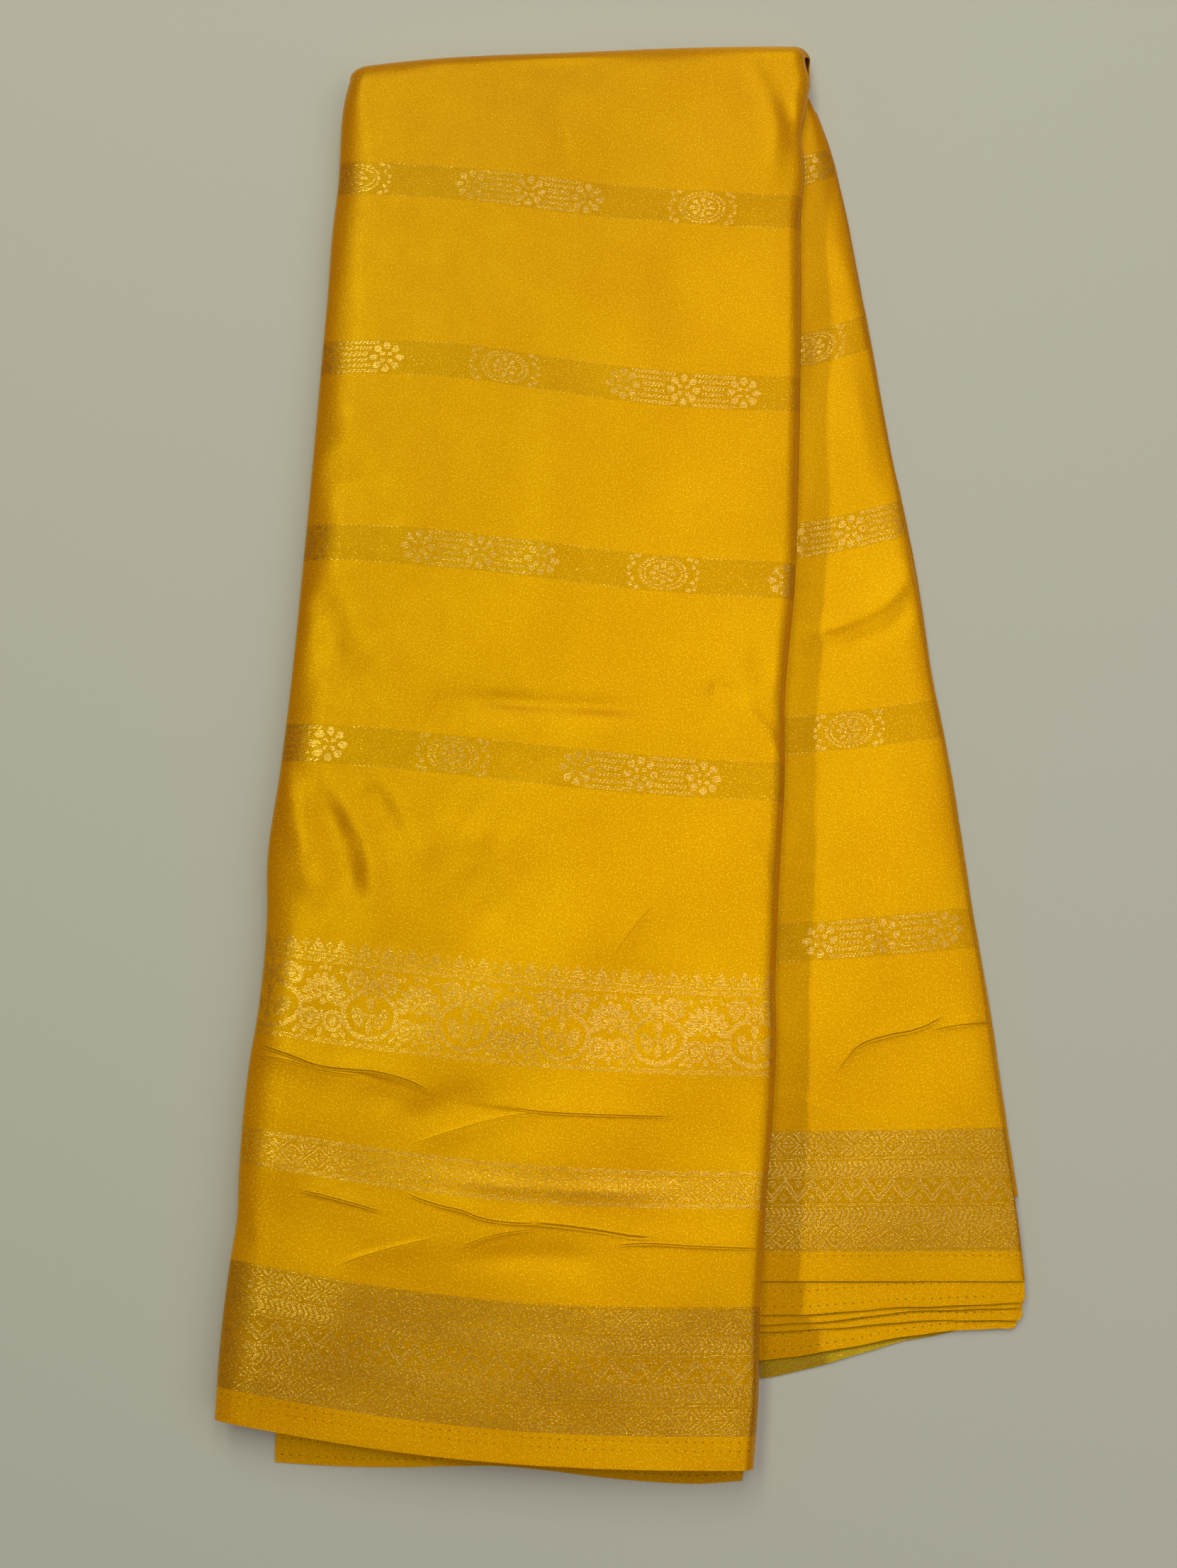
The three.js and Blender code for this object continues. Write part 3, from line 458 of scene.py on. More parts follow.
FOLD_MARKS = (0.0, 0.34, 0.68, 1.0)  # shares round a long fold: shoulder, flank, underside, turn-in
TOP_COLUMNS = 116


def front_columns():
    """Side (-1 left, 0 top, 1 right) and share, round the side or across the top, of each column."""
    shoulder, flank, under, end = FOLD_MARKS
    spans = ((end, under, 5), (under, flank, 8), (flank, shoulder, 13))
    left_share = np.concatenate([np.linspace(*span)[:-1] for span in spans])
    sides = -np.ones(len(left_share))
    side = np.concatenate([sides, np.zeros(TOP_COLUMNS), -sides])
    return side, np.concatenate([left_share, np.linspace(0, 1, TOP_COLUMNS), left_share[::-1]])


def round_fold(share, shoulder, reach):
    """Inward distance, depth and cloth length (0 at the shoulder's inner end) at a share of the way round
    a long fold. reach: 1 for the whole way, less where the leaf stops sooner."""
    _, flank, under, end = FOLD_MARKS
    a, b = shoulder, FOLD_RADIUS
    quarter_out = np.pi / 4 * (3 * (a + b) - np.sqrt((3 * a + b) * (a + 3 * b)))
    share = share * reach
    angle = np.clip(share / flank, 0, 1) * np.pi / 2
    turn = np.clip((share - flank) / (under - flank), 0, 1) * np.pi / 2
    tail = np.clip((share - under) / (end - under), 0, 1) * TURN_IN
    inward = a * (1 - np.sin(angle)) + b * (1 - np.cos(turn)) + tail
    depth = b * (1 - np.cos(angle)) + b * np.sin(turn)
    return inward, depth, np.interp(share, FOLD_MARKS, np.cumsum([0, quarter_out, np.pi / 2 * b, TURN_IN]))


# from and to Y, and how high the grid's rows are there (mm)
FRONT_ROWS = ((-198, -104, 0.48), (-62, 40, 1.6))
SIDE_ROWS = ((-142, -94, 1.3), (40, 110, 1.3))
FRONT_HIGH_ROW = 3.4
SIDE_HIGH_ROW = 3.2
HEM_SAG = 9.0


def row_height(y, table, elsewhere):
    for low, high, height in table:
        if low < y < high:
            return height
    return elsewhere


def front_rows():
    """Shares of the way from hem to top fold: close together where the fine creases are."""
    y = [HEM_LEFT[1] - HEM_SAG]
    while y[-1] < TOP_LEFT[1] - NOSE_RADIUS:
        y.append(y[-1] + row_height(y[-1], FRONT_ROWS, FRONT_HIGH_ROW))
    y = np.array(y)
    return (y - y[0]) / (y[-1] - y[0])


NOSE_ROWS = 27  # stations round the top fold
FOLD_LEFT = 0.34  # share of the long folds' way round that is left at the top fold
SHOULDER_LOSS = 8  # how much narrower the left shoulder is there


def crown_at(across, depth):
    """How far the panel stands up over its edges."""
    return FRONT_CROWN * (1 - (2 * across - 1) ** 4) * np.clip(1 - depth / FOLD_RADIUS, 0, 1)


def front_leaf_grid():
    """Outer points, cloth coordinates (mm), and each row's share of the way from hem to turned end."""
    side, share = front_columns()
    rows, uvs, taus = [], [], []
    start_tau = 1 - NOSE_RADIUS / MEAN_RUN

    def section(flat):
        """Share across, depth and cloth width of each column."""
        reach = 1 - (1 - FOLD_LEFT) * smooth(flat, 0.955, 1)
        left_shoulder = LEFT_SHOULDER - SHOULDER_LOSS * smooth(flat, 0.93, 1)
        left_in, left_depth, left_length = round_fold(share, left_shoulder, reach)
        right_in, right_depth, right_length = round_fold(share, RIGHT_SHOULDER, reach)
        top = left_shoulder + (PANEL_WIDTH - left_shoulder - RIGHT_SHOULDER) * share

        def by_side(left, middle, right):
            return np.where(side < 0, left, np.where(side > 0, right, middle))

        inward = by_side(left_in, top, PANEL_WIDTH - right_in)
        u = by_side(left_shoulder - left_length, top, PANEL_WIDTH - RIGHT_SHOULDER + right_length)
        return inward / PANEL_WIDTH, by_side(left_depth, 0, right_depth), u

    def add_row(points, u, across, tau):
        rows.append(points)
        uvs.append(np.stack([u, tau * run_at(across)], axis=1))
        taus.append(tau)

    for flat in front_rows():
        across, depth, u = section(flat)
        x, y = front_plan(across, np.full_like(across, flat))
        crown = crown_at(across, depth)
        relief = crease_relief(FRONT_CREASES, x, y) + slack(x, y)
        relief = np.maximum(relief, -crown - DEEPEST) * np.clip(1 - depth / FOLD_RADIUS, 0, 1)
        add_row(np.stack([x, y, FRONT_TOP - depth + crown + relief], axis=1), u, across, flat * start_tau)

    across, depth, u = section(1.0)
    x, y = front_plan(across, np.ones_like(across))
    crown = crown_at(across, depth)
    for turn in np.linspace(0, np.pi, NOSE_ROWS)[1:]:
        radius = NOSE_RADIUS - depth + crown * np.cos(turn / 2) ** 2
        shift = NOSE_SHIFT * smooth(turn, 0.3, 1.8) * across
        points = np.stack([x + shift, y + radius * np.sin(turn), NOSE_RADIUS + radius * np.cos(turn)], axis=1)
        add_row(points, u, across, start_tau + NOSE_RADIUS * turn / MEAN_RUN)
    last, last_tau = rows[-1], taus[-1]
    for past in (NOSE_RETURN / 2, NOSE_RETURN):
        add_row(last - np.array([0, past, 0]), u, across, last_tau + past / MEAN_RUN)
    return np.array(rows), np.array(uvs), np.array(taus)


# The side leaf

SIDE_SHOULDER = 9.0
SIDE_DROP = 1.9  # from the leaf's top to its outermost line
SIDE_UNDER = 0.9
SIDE_RETURN = 4.0
SIDE_CLEAR = 0.765  # how much higher the rim is where the leaf doesn't turn in, by its selvedge
SIDE_COLUMNS = 46
ROUND_OUT_COLUMNS = 12
ROUND_IN_COLUMNS = 6


def side_leaf_grid():
    """Outer points, cloth coordinates (mm), and each row's share of the way from selvedge to top fold."""
    flat_columns = np.linspace(0, 1, SIDE_COLUMNS)
    round_out = np.linspace(0, np.pi / 2, ROUND_OUT_COLUMNS)[1:]
    round_in = np.linspace(0, np.pi / 2, ROUND_IN_COLUMNS)[1:]
    back = np.array([0.5, 1.0])
    along = [0.0]
    while along[-1] < 1:
        y = SIDE_HEM[1] + along[-1] * SIDE_LENGTH
        along.append(along[-1] + row_height(y, SIDE_ROWS, SIDE_HIGH_ROW) / SIDE_LENGTH)
    along = np.array(along) / along[-1]
    rows, uvs = [], []
    for share in along:
        ahead = min(1.0, share + through(SIDE_BOWS, LEAD, share) / SIDE_LENGTH)
        right_x, right_y = side_edge(ahead)
        y0 = SIDE_HEM[1] + share * SIDE_LENGTH
        left_x = edge_x(RIGHT, y0) - SIDE_TUCK
        width = right_x - left_x
        shoulder = min(SIDE_SHOULDER, 0.45 * (width - SIDE_TUCK) + 2)
        wrap = smooth(share, 0.055, 0.075)
        inward = np.concatenate([
            width - (width - shoulder) * flat_columns,
            shoulder * (1 - np.sin(round_out)),
            SIDE_UNDER * (1 - np.cos(round_in)) * wrap,
            (SIDE_UNDER + back * SIDE_RETURN) * wrap,
        ])
        depth = np.concatenate([
            np.zeros_like(flat_columns),
            SIDE_DROP * (1 - np.cos(round_out)),
            SIDE_DROP + SIDE_UNDER * np.sin(round_in) * (0.15 + 0.85 * wrap),
            np.full_like(back, SIDE_DROP + SIDE_UNDER) - SIDE_CLEAR * (1 - wrap),
        ])
        across = 1 - inward / width
        x = left_x + width * across
        y = y0 + (right_y - y0) * across**1.5
        cover = smooth(x - edge_x(RIGHT, y), 1, 8)
        relief = (crease_relief(SIDE_CREASES, x, y) + 0.6 * slack(y, x)) * cover
        relief = relief * np.clip(1 - depth / SIDE_DROP, 0, 1)
        rows.append(np.stack([x, y, SIDE_TOP + relief - depth], axis=1))
        gone = np.concatenate([[0], np.cumsum(np.hypot(np.diff(inward), np.diff(depth)))])
        uvs.append(np.stack([gone - SIDE_TUCK, np.full_like(gone, share * SIDE_LENGTH)], axis=1))
    return np.array(rows), np.array(uvs), along


# Stepped leaves, bottom leaf, inner leaves

STEP_COLUMNS = 72
STEP_ROWS = 16
LOWEST_STEP = 0.56  # lowest height of a step's top
CORNER_RISE = 1.6  # how far up its selvedge curves in the last CORNER_REACH of its right end
CORNER_REACH = 2.2
# name, level, selvedge Y beside the front panel, half way and at the right fold, X of its right end, tuck
STEPPED = [
    ("side_leaf_2", 4, -212.7, -210.6, -208.2, 170.2, 10),
    ("side_leaf_3", 3, -216.6, -212.6, -209.9, 169.8, 10),
    ("side_leaf_4", 2, -219.5, -215.8, -214.6, 169.4, 10),
    ("side_leaf_5", 1, -230.1, -222.4, -218.0, 167.3, 10),
    ("side_leaf_6", 0, -236.5, -225.6, -217.6, 165.0, -1.6),
]


def stepped_grid(name, level, near, middle, far, reach, tuck):
    seed = len(name) + level
    share = np.linspace(0, 1, STEP_COLUMNS)
    inner = edge_x(RIGHT, np.array(near)) - tuck
    x = inner + (reach - inner) * share
    visible = np.clip((x - HEM_RIGHT[0]) / (reach - HEM_RIGHT[0]), 0, 1)
    hem = near + (middle - near) * smooth(visible, 0, 0.62) + (far - middle) * smooth(visible, 0.3, 1.0)
    hem = hem + 0.25 * np.sin(visible * 11 + seed) + 0.12 * np.sin(visible * 29 + 2 * seed)
    hem = hem + CORNER_RISE * smooth(x, reach - CORNER_REACH, reach) ** 2
    rows, uvs = [], []
    for t in np.linspace(0, 1, STEP_ROWS):
        y = hem + (STEP_BACK - SEAM - hem) * t**1.2
        xx = x + (side_right_x(y) - side_right_x(np.array(far))) * share**3
        xx = xx + (edge_x(RIGHT, y) - tuck - inner) * (1 - share)
        lift = 0.12 * np.sin(xx / 7.0 + seed * 1.7) * (1 - t) - 0.5 * smooth(share, 0.965, 1.0)
        z = np.maximum(level * (LEAF + SEAM) + LEAF + lift, LOWEST_STEP)
        rows.append(np.stack([xx, y, z], axis=1))
        uvs.append(np.stack([xx, y - hem], axis=1))
    return np.array(rows), np.array(uvs)


UNDER_HEM = np.array([
    (-120.6, -267.4), (-97.0, -268.7), (-73.7, -269.3), (-54.0, -268.9), (-35.6, -268.7), (-16.0, -270.4),
    (5.0, -272.8), (24.0, -274.4), (42.0, -275.2), (59.0, -274.1),
])
UNDER_COLUMNS = 64
UNDER_TOP = 0.72


def under_leaf_grid():
    end = TOP_LEFT[1] - NOSE_RADIUS - NOSE_RETURN - 2
    share = np.linspace(0, 1, UNDER_COLUMNS)
    hem_x = UNDER_HEM[0, 0] + (UNDER_HEM[-1, 0] - UNDER_HEM[0, 0]) * share
    hem_y = through(UNDER_HEM, 1, hem_x)
    rows, uvs = [], []
    steps = np.concatenate([np.linspace(0, 0.08, 14)[:-1], np.linspace(0.08, 1, 36)])
    for t in steps:
        y = hem_y + (end - hem_y) * t
        left = np.maximum(edge_x(LEFT, y[0]) + 6, UNDER_HEM[0, 0] - 0.2)
        right = min(edge_x(RIGHT, y[-1]) - UNDER_LEAF_EDGE, hem_x[-1] + (y[-1] - UNDER_HEM[-1, 1]) * 0.6)
        x = left + (right - left) * share
        if t == 0:
            x = hem_x
        near = 1 - smooth(t, 0, 0.05)
        lift = near * (0.18 * np.sin(x / 9.0) + 0.14 * np.sin(x / 23.0 + 1.0))
        rows.append(np.stack([x, y, UNDER_TOP + lift], axis=1))
        uvs.append(np.stack([x, y - hem_y], axis=1))
    return np.array(rows), np.array(uvs)


RIM = ((0.0, 0.16), (0.28, 0.0), (0.72, 0.0), (1.0, 0.16))  # share of the height, how far in the rim is there


def prism(outline, low, high):
    """Points and faces of a flat sheet with a rounded rim."""
    count = len(outline)
    following = np.roll(outline, -1, axis=0) - np.roll(outline, 1, axis=0)
    out = np.stack([following[:, 1], -following[:, 0]], axis=1)
    out /= np.maximum(np.linalg.norm(out, axis=1, keepdims=True), 1e-9)
    rings = []
    for share, inset in RIM:
        rings.append(np.column_stack([outline - out * inset, np.full(count, low + (high - low) * share)]))
    i = np.arange(count)
    j = (i + 1) % count
    quads = []
    for k in range(len(RIM) - 1):
        below, above = k * count, (k + 1) * count
        quads.append(np.stack([i + below, j + below, j + above, i + above], axis=1))
    return np.concatenate(rings), quads, [i[None, ::-1], i[None] + above]


def waver(length, seed, size):
    """Uneven offset along an edge."""
    local = np.random.default_rng(seed)
    value = np.zeros_like(length)
    for wave in (170, 71, 33, 14):
        swing = np.sin(length * 2 * np.pi / wave + local.uniform(0, 6.3)) * local.uniform(0.5, 1.0)
        value += swing * (wave / 170) ** 0.45
    return value * size / 2


def fold_inset(z):
    """How far in from the panel's edge a leaf inside the long fold ends, at height z."""
    centre = UPPER_UNDER + FOLD_RADIUS
    if z >= centre:
        share = min(0.985, (z + 0.85 - centre) / FOLD_RADIUS)
        return LEFT_SHOULDER * (1 - math.sqrt(1 - share * share)) + 1.2
    share = min(0.985, (centre - z + 0.6) / FOLD_RADIUS)
    return FOLD_RADIUS * (1 - math.sqrt(1 - share * share)) + 0.9


def nose_y(x, z):
    radius = NOSE_RADIUS - SHEET - 0.5
    share = (x - TOP_LEFT[0]) / (TOP_RIGHT[0] - TOP_LEFT[0])
    start = TOP_LEFT[1] + (TOP_RIGHT[1] - TOP_LEFT[1]) * share - NOSE_RADIUS
    start = start + through(TOP_BOW, 1, np.clip(share, 0, 1))
    return start + math.sqrt(max(0.0, radius**2 - (z - NOSE_RADIUS) ** 2))


INNER_CORNER = 4.5
INNER_THICK = 0.4
NOSE_GAP = 1.0
# from one inner leaf to the next: in the long folds, between the turned-in edges, in the fan, at the bottom
LONG_PITCH = 0.56
TURNED_PITCH = 0.5
FAN_PITCH = 0.545
BOTTOM_PITCH = 0.52
FAN_LOW = 1.12
# how far each inner leaf of the fan ends inside the side leaf's edge, from the bottom up
FAN = (-1.3, -1.9, -0.7, -1.4, 0.2, -0.5, 0.9)


def inner_outline(z, left, right, hem, seed, fanned=None):
    """Outline of one inner leaf, counter-clockwise from the hem's left end."""
    hem_share = np.linspace(0, 1, 70)
    low = left / PANEL_WIDTH
    high = 1 - right / PANEL_WIDTH
    across = low + (high - low) * hem_share
    hx, hy = front_plan(across, np.zeros_like(across))
    hy = hy + hem + waver(hx, seed, 0.8)
    ys = np.linspace(hy[-1] + 3, TOP_RIGHT[1] - NOSE_RADIUS - 30, 110)
    if fanned is None:
        rx = edge_x(RIGHT, ys) - right + waver(ys, seed + 1, 0.35) * smooth(ys, hy[-1], hy[-1] + 25)
        right_side = np.column_stack([rx, ys])
    else:
        before = ys[ys < STEP_BACK - 1.0]
        after = np.linspace(STEP_BACK, 314, 100)
        inner = np.column_stack([edge_x(RIGHT, before) - right, before])
        ox = np.maximum(side_right_x(after) - fanned + waver(after, seed + 2, 0.4), edge_x(RIGHT, after) - 6)
        outer = np.column_stack([ox, after])
        right_side = np.concatenate([inner, [[inner[-1, 0], STEP_BACK]], outer])
    end_x = np.linspace(TOP_RIGHT[0] - right - INNER_CORNER, TOP_LEFT[0] + left + INNER_CORNER, 24)
    nose_side = np.column_stack([end_x, nose_y(end_x, z) - NOSE_GAP])
    ys = np.linspace(TOP_LEFT[1] - NOSE_RADIUS - 28, hy[0] + 3, 110)
    lx = edge_x(LEFT, ys) + left + waver(ys, seed + 3, 0.45) * smooth(ys, hy[0], hy[0] + 25)
    left_side = np.column_stack([lx, ys])
    return np.concatenate([np.column_stack([hx, hy]), right_side, nose_side, left_side])


def bottom_outline(seed, right, step):
    ys = np.linspace(STEP_BACK + step, TOP_RIGHT[1] - NOSE_RADIUS - 14 - step, 120)
    outer_x = np.maximum(side_right_x(ys) - right + waver(ys, seed, 0.3), edge_x(RIGHT, ys) - 0.4)
    inner_x = edge_x(RIGHT, ys) - UNDER_LEAF_EDGE + 1.5 + step
    return np.concatenate([np.column_stack([outer_x, ys]), np.column_stack([inner_x, ys])[::-1]])


def inner_sheets():
    """Outline, bottom and top of each inner leaf."""
    for i in range(12):  # inside the long folds of the upper half
        low = UPPER_UNDER + SHEET + 0.25 + i * LONG_PITCH
        inset = fold_inset(low + INNER_THICK / 2)
        hem = 1.6 + 1.5 * (0.5 + 0.5 * math.sin(i * 2.3)) + 0.5 * (i % 2)
        yield inner_outline(low, inset, inset * 0.92, hem, 20 + i), low, low + INNER_THICK
    for i in range(2):  # between the turned-in edges
        low = UPPER_UNDER - 0.25 + i * TURNED_PITCH
        yield inner_outline(low, 14.5, 18.5, 5.5 + i, 60 + i), low, low + 0.36
    for i in range(10):  # the lower half, under the front panel and out to the right fold
        low = FAN_LOW + i * FAN_PITCH
        rounding = 5.4 + 0.12 * (i - 4.5) ** 2 + 0.5 * (i % 2)
        if i < len(FAN):
            outline = inner_outline(low, rounding, 10.8, 4.2 + 0.8 * (i % 3), 80 + i, FAN[i])
        else:
            outline = inner_outline(low, rounding, SIDE_TUCK + 1.0, 4.2 + (i % 2), 80 + i)
        yield outline, low, low + INNER_THICK
    for i, right in enumerate((0.3, -0.6)):
        low = i * BOTTOM_PITCH
        yield bottom_outline(110 + i, right, 0.3 * i), low, low + 0.42


def inner_leaves():
    """All inner leaves as closed thin sheets in one mesh."""
    points, quads, caps = [], [], []
    base = 0
    for sheet in inner_sheets():
        p, q, c = prism(*sheet)
        points.append(p)
        quads.extend(group + base for group in q)
        caps.extend(cap + base for cap in c)
        base += len(p)
    points = np.concatenate(points)
    uv = np.column_stack([points[:, 0] + points[:, 2] * 3, points[:, 1] + 400])
    return make_mesh("inner_leaves", points, quads + caps, uv, sharp=50)


# Zari: figures as masks over the cloth, cut into floats row by row


def oval(x, y, cx, cy, rx, ry, tilt=0.0):
    """Below 1 inside an ellipse."""
    dx, dy = x - cx, y - cy
    if tilt:
        c, s = math.cos(math.radians(tilt)), math.sin(math.radians(tilt))
        dx, dy = dx * c + dy * s, dy * c - dx * s
    return (dx / rx) ** 2 + (dy / ry) ** 2


def spots(x, y, table):
    """Inside any ellipse of a table: centre, radii and tilt."""
    on = np.zeros(x.shape, bool)
    for row in table:
        on |= oval(x, y, *row) < 1
    return on


def near_line(x, y, path, half):
    """Within `half` of a smooth curve through a path's points."""
    best = np.full(x.shape, np.inf)
    for gap, _, _ in spans(x, y, bend(path, 4)):
        best = np.minimum(best, gap)
    return best < half


def repeat(x, pitch):
    """Distance from the middle of the nearest repeat."""
    return (x + pitch / 2) % pitch - pitch / 2


def dashes(x, y, centre, half, pitch=0.8, duty=0.64):
    """Row of short upright dashes."""
    return (np.abs(y - centre) < half) & ((x % pitch) < pitch * duty)


def diamonds(x, y, height, pitch=10.5):
    """Diamonds with a plain outline: a ring, four petals parted by a plain cross, hatched corners."""
    lx, ly = np.abs(repeat(x, pitch)), np.abs(y)
    ring = lx / (pitch / 2) + ly / (height / 2)
    petals = (ring < 0.5) & (lx > 0.35) & (ly > 0.3)
    corners = (ring > 1.14) & (((lx + 0.8 * ly) % 1.7) < 1.0)
    return (petals | ((ring > 0.7) & (ring < 0.94)) | corners) & (ly < height / 2)


def chevrons(x, y, height, pitch=2.12):
    """Row of arrowheads."""
    return ((x + 0.62 * np.abs(y)) % pitch < 0.6 * pitch) & (np.abs(y) < height / 2)


def zigzag(x, y, height, pitch=10.6):
    """A thick zigzag with a plain line along its middle, and a small diamond flower in each bay."""
    lx = repeat(x, pitch)
    rise = height / 2 - 1.2
    gap = np.abs(y - (1 - 4 * np.abs(lx) / pitch) * rise) / math.hypot(1, 4 * rise / pitch)
    bay = np.where(y > 0, np.abs(repeat(x + pitch / 2, pitch)), np.abs(lx)) + np.abs(np.abs(y) - rise + 0.4)
    flower = (bay < 1.7) & ((bay > 0.9) | (bay < 0.5))
    return ((gap > 0.22) & (gap < 1.15) | flower) & (np.abs(y) < height / 2)


def wide_border(x, y):
    """46.5 mm tall, y from its middle."""
    a = np.abs(y)
    return (
        zigzag(x, y, 8.7) | dashes(x, a, 5.3, 0.62) | chevrons(x, a - 8.85, 5.2) | dashes(x, a, 12.3, 0.58)
        | diamonds(x, a - 17.65, 8.9) | dashes(x, a, 22.8, 0.45)
    )


def narrow_band(x, y):
    """14 mm tall."""
    a = np.abs(y)
    return dashes(x, a, 6.55, 0.42) | dashes(x + 0.4, a, 5.3, 0.58) | diamonds(x, y, 8.9)


def petals(x, y, radius, count, long, wide, turned=0.0):
    """A ring of petals."""
    reach = np.hypot(x, y)
    beside = repeat(np.arctan2(y, x) + turned, 2 * math.pi / count) * radius
    return ((reach - radius) / long) ** 2 + (beside / wide) ** 2 < 1


def cartouche(x, y):
    """65 by 16 mm: three flowers of eight petals, joined by nested rows of slanted strokes."""
    a, b = np.abs(x), np.abs(y)
    on = np.zeros(x.shape, bool)
    for row, start, end in ((6.75, 3.5, 22.0), (4.05, 6.2, 19.2), (1.35, 8.0, 17.6)):
        stroke = ((x - 0.55 * np.sign(y) * (b - row)) % 1.5) < 0.98
        on |= (np.abs(b - row) < 0.82) & (a > start) & (a < end) & stroke
    for centre in (0, 25.5):
        on |= petals(a - centre, y, 5.3, 8, 1.8, 1.5) | petals(a - centre, y, 2.1, 4, 1.15, 0.95, math.pi / 4)
    return on | petals(x, y, 5.3, 8, 1.8, 1.5) | (oval(a, y, 32.2, 0, 0.9, 0.9) < 1)


SPRIG = ((10.9, 6.9, 1.3, 0.9), (13.4, 5.9, 0.9, 1.1), (12.4, 3.4, 1.0, 0.9), (14.2, 1.4, 0.9, 0.9))


def medallion(x, y):
    """29 by 16 mm: a ring of dashes round a flower, with small sprigs at its corners."""
    a, b = np.abs(x), np.abs(y)
    ring = oval(x, y, 0, 0, 10.4, 7.4)
    turn = np.arctan2(y / 7.4, x / 10.4) / (2 * np.pi)
    on = (ring > 0.74) & (ring < 1.0) & ((turn * 34 % 1) < 0.68)
    on |= (ring > 0.5) & (ring < 0.6)
    on |= petals(0.84 * x, y, 3.5, 8, 1.15, 0.95) | petals(0.84 * x, y, 1.35, 5, 0.8, 0.62)
    return on | spots(a, b, SPRIG)


FIGURE_REPEAT = 152


def tissue_band(middle, cartouche_at, chance):
    """Mask of a tissue band: cartouches and medallions by turns, and a sparse lattice of points."""

    def mask(u, v):
        y = v - middle
        lx = repeat(u - cartouche_at, FIGURE_REPEAT)
        mx = repeat(u - cartouche_at - FIGURE_REPEAT / 2, FIGURE_REPEAT)
        on = (np.abs(y) < 8) & (cartouche(lx, y) | medallion(mx, y))
        clear = (np.abs(lx) > 34) & (np.abs(mx) > 16)
        row = np.floor((y + 8) / 1.68)
        point = (((y + 8) % 1.68) < 0.42) & (((u + row * 1.25) % 2.5) < 0.42)
        cell = np.sin(np.floor((u + row * 1.25) / 2.5) * 12.9898 + row * 78.233) * 43758.5453
        on |= clear & point & (np.abs(y) < 7.5) & ((cell % 1) < chance)
        on |= clear & (np.abs(np.abs(y) - 7.75) < 0.22) & ((u % 1.9) < 0.7)
        return on

    return mask


SCROLL = [
    (0.5, 1.4), (5.0, 2.4), (9.0, 5.4), (11.0, 10.0), (10.2, 14.2), (7.4, 17.0), (3.8, 19.2),
    (2.3, 22.6), (4.2, 25.7), (7.4, 26.2), (10.0, 23.6), (9.2, 20.6), (7.4, 20.0),
]
SCROLL_REPEAT = 40.0
LEAF_TILT = -24
LYRE_SPOTS = [
    (6.3, 22.8, 2.1, 2.0), (0, 15.2, 1.7, 2.5), (0, 5.8, 1.4, 2.0), (0, 22.0, 1.2, 3.6), (0, 27.0, 0.9, 0.9),
    (2.6, 18.6, 0.9, 1.6, -30),
]
FAN_SPOTS = [
    (0, 13.4, 1.5, 1.2), (0, 2.0, 1.1, 1.7), (0, 8.6, 0.9, 1.5), (9.6, 2.0, 1.0, 2.0, 40),
    (6.6, 1.0, 1.6, 0.8), (6.6, 25.6, 0.85, 0.95), (8.8, 25.0, 0.85, 0.95), (0, 26.6, 0.85, 0.95),
    (1.9, 26.2, 0.85, 0.95),
]
# a fan's rays: angles, height of their middle, reach across and up, radii of a ray
FAN_RAYS = [((0, 25, 50, 75, 100), 14.8, 6.9, 7.2, 1.45, 2.9), ((0, 40, 80), 14.4, 2.9, 3.0, 0.95, 1.5)]
FRINGE_REPEAT = SCROLL_REPEAT / 4
FRINGE_DOTS = [
    (0, 0.9), (1.8, 0.9), (3.5, 0.9), (0.9, 2.4), (2.6, 2.3), (0, 3.8), (1.6, 3.7), (0.8, 5.0), (0, 6.2),
]


def scroll_row(x, y):
    """The scroll band's main row, 28 mm tall, y from its foot: a lyre and a fan by turns."""
    a = np.abs(repeat(x, SCROLL_REPEAT))
    on = near_line(a, y, SCROLL, 1.02) | spots(a, y, LYRE_SPOTS) | petals(a, y - 10.4, 1.5, 4, 0.9, 0.8)
    tilt = math.radians(LEAF_TILT)
    vein = np.abs((a - 4.9) * math.cos(tilt) + (y - 9.4) * math.sin(tilt)) < 0.22
    on |= (oval(a, y, 4.9, 9.4, 2.3, 4.2, LEAF_TILT) < 1) & ~vein
    on |= (a < 0.45) & (y > 3.4) & (y < 12.6)
    b = SCROLL_REPEAT / 2 - a
    on |= spots(b, y, FAN_SPOTS)
    for angles, middle, across, up, rx, ry in FAN_RAYS:
        for angle in angles:
            s, c = math.sin(math.radians(angle)), math.cos(math.radians(angle))
            on |= oval(b, y, across * s, middle + up * c, rx, ry, -angle) < 1
    spiral = np.hypot(b - 4.8, y - 6.4)
    return on | ((spiral > 2.7) & (spiral < 4.3)) | (spiral < 2.0)


def fringe(x, y):
    """Triangular bushes of dots along the top of the scroll band, with a diamond of four dots between."""
    lx = np.abs(repeat(x + 4.0, FRINGE_REPEAT))
    gap = FRINGE_REPEAT / 2 - lx
    on = spots(lx, y, [(cx, cy, 0.82, 0.68) for cx, cy in FRINGE_DOTS])
    return on | petals(gap, y - 4.6, 0.95, 4, 0.6, 0.55) | (oval(gap, y, 0, 1.8, 0.5, 0.9) < 1)


def scroll_band(x, y):
    """40.4 mm tall, y from its foot."""
    on = dashes(x, y, 0.5, 0.42) | dashes(x + 0.4, y, 1.65, 0.5)
    on |= (y > 2.3) & (y < 30.7) & scroll_row(x, y - 2.4)
    on |= dashes(x, y, 31.3, 0.45) | dashes(x + 0.4, y, 32.4, 0.42)
    return on | ((y > 33.0) & fringe(x, y - 33.0))


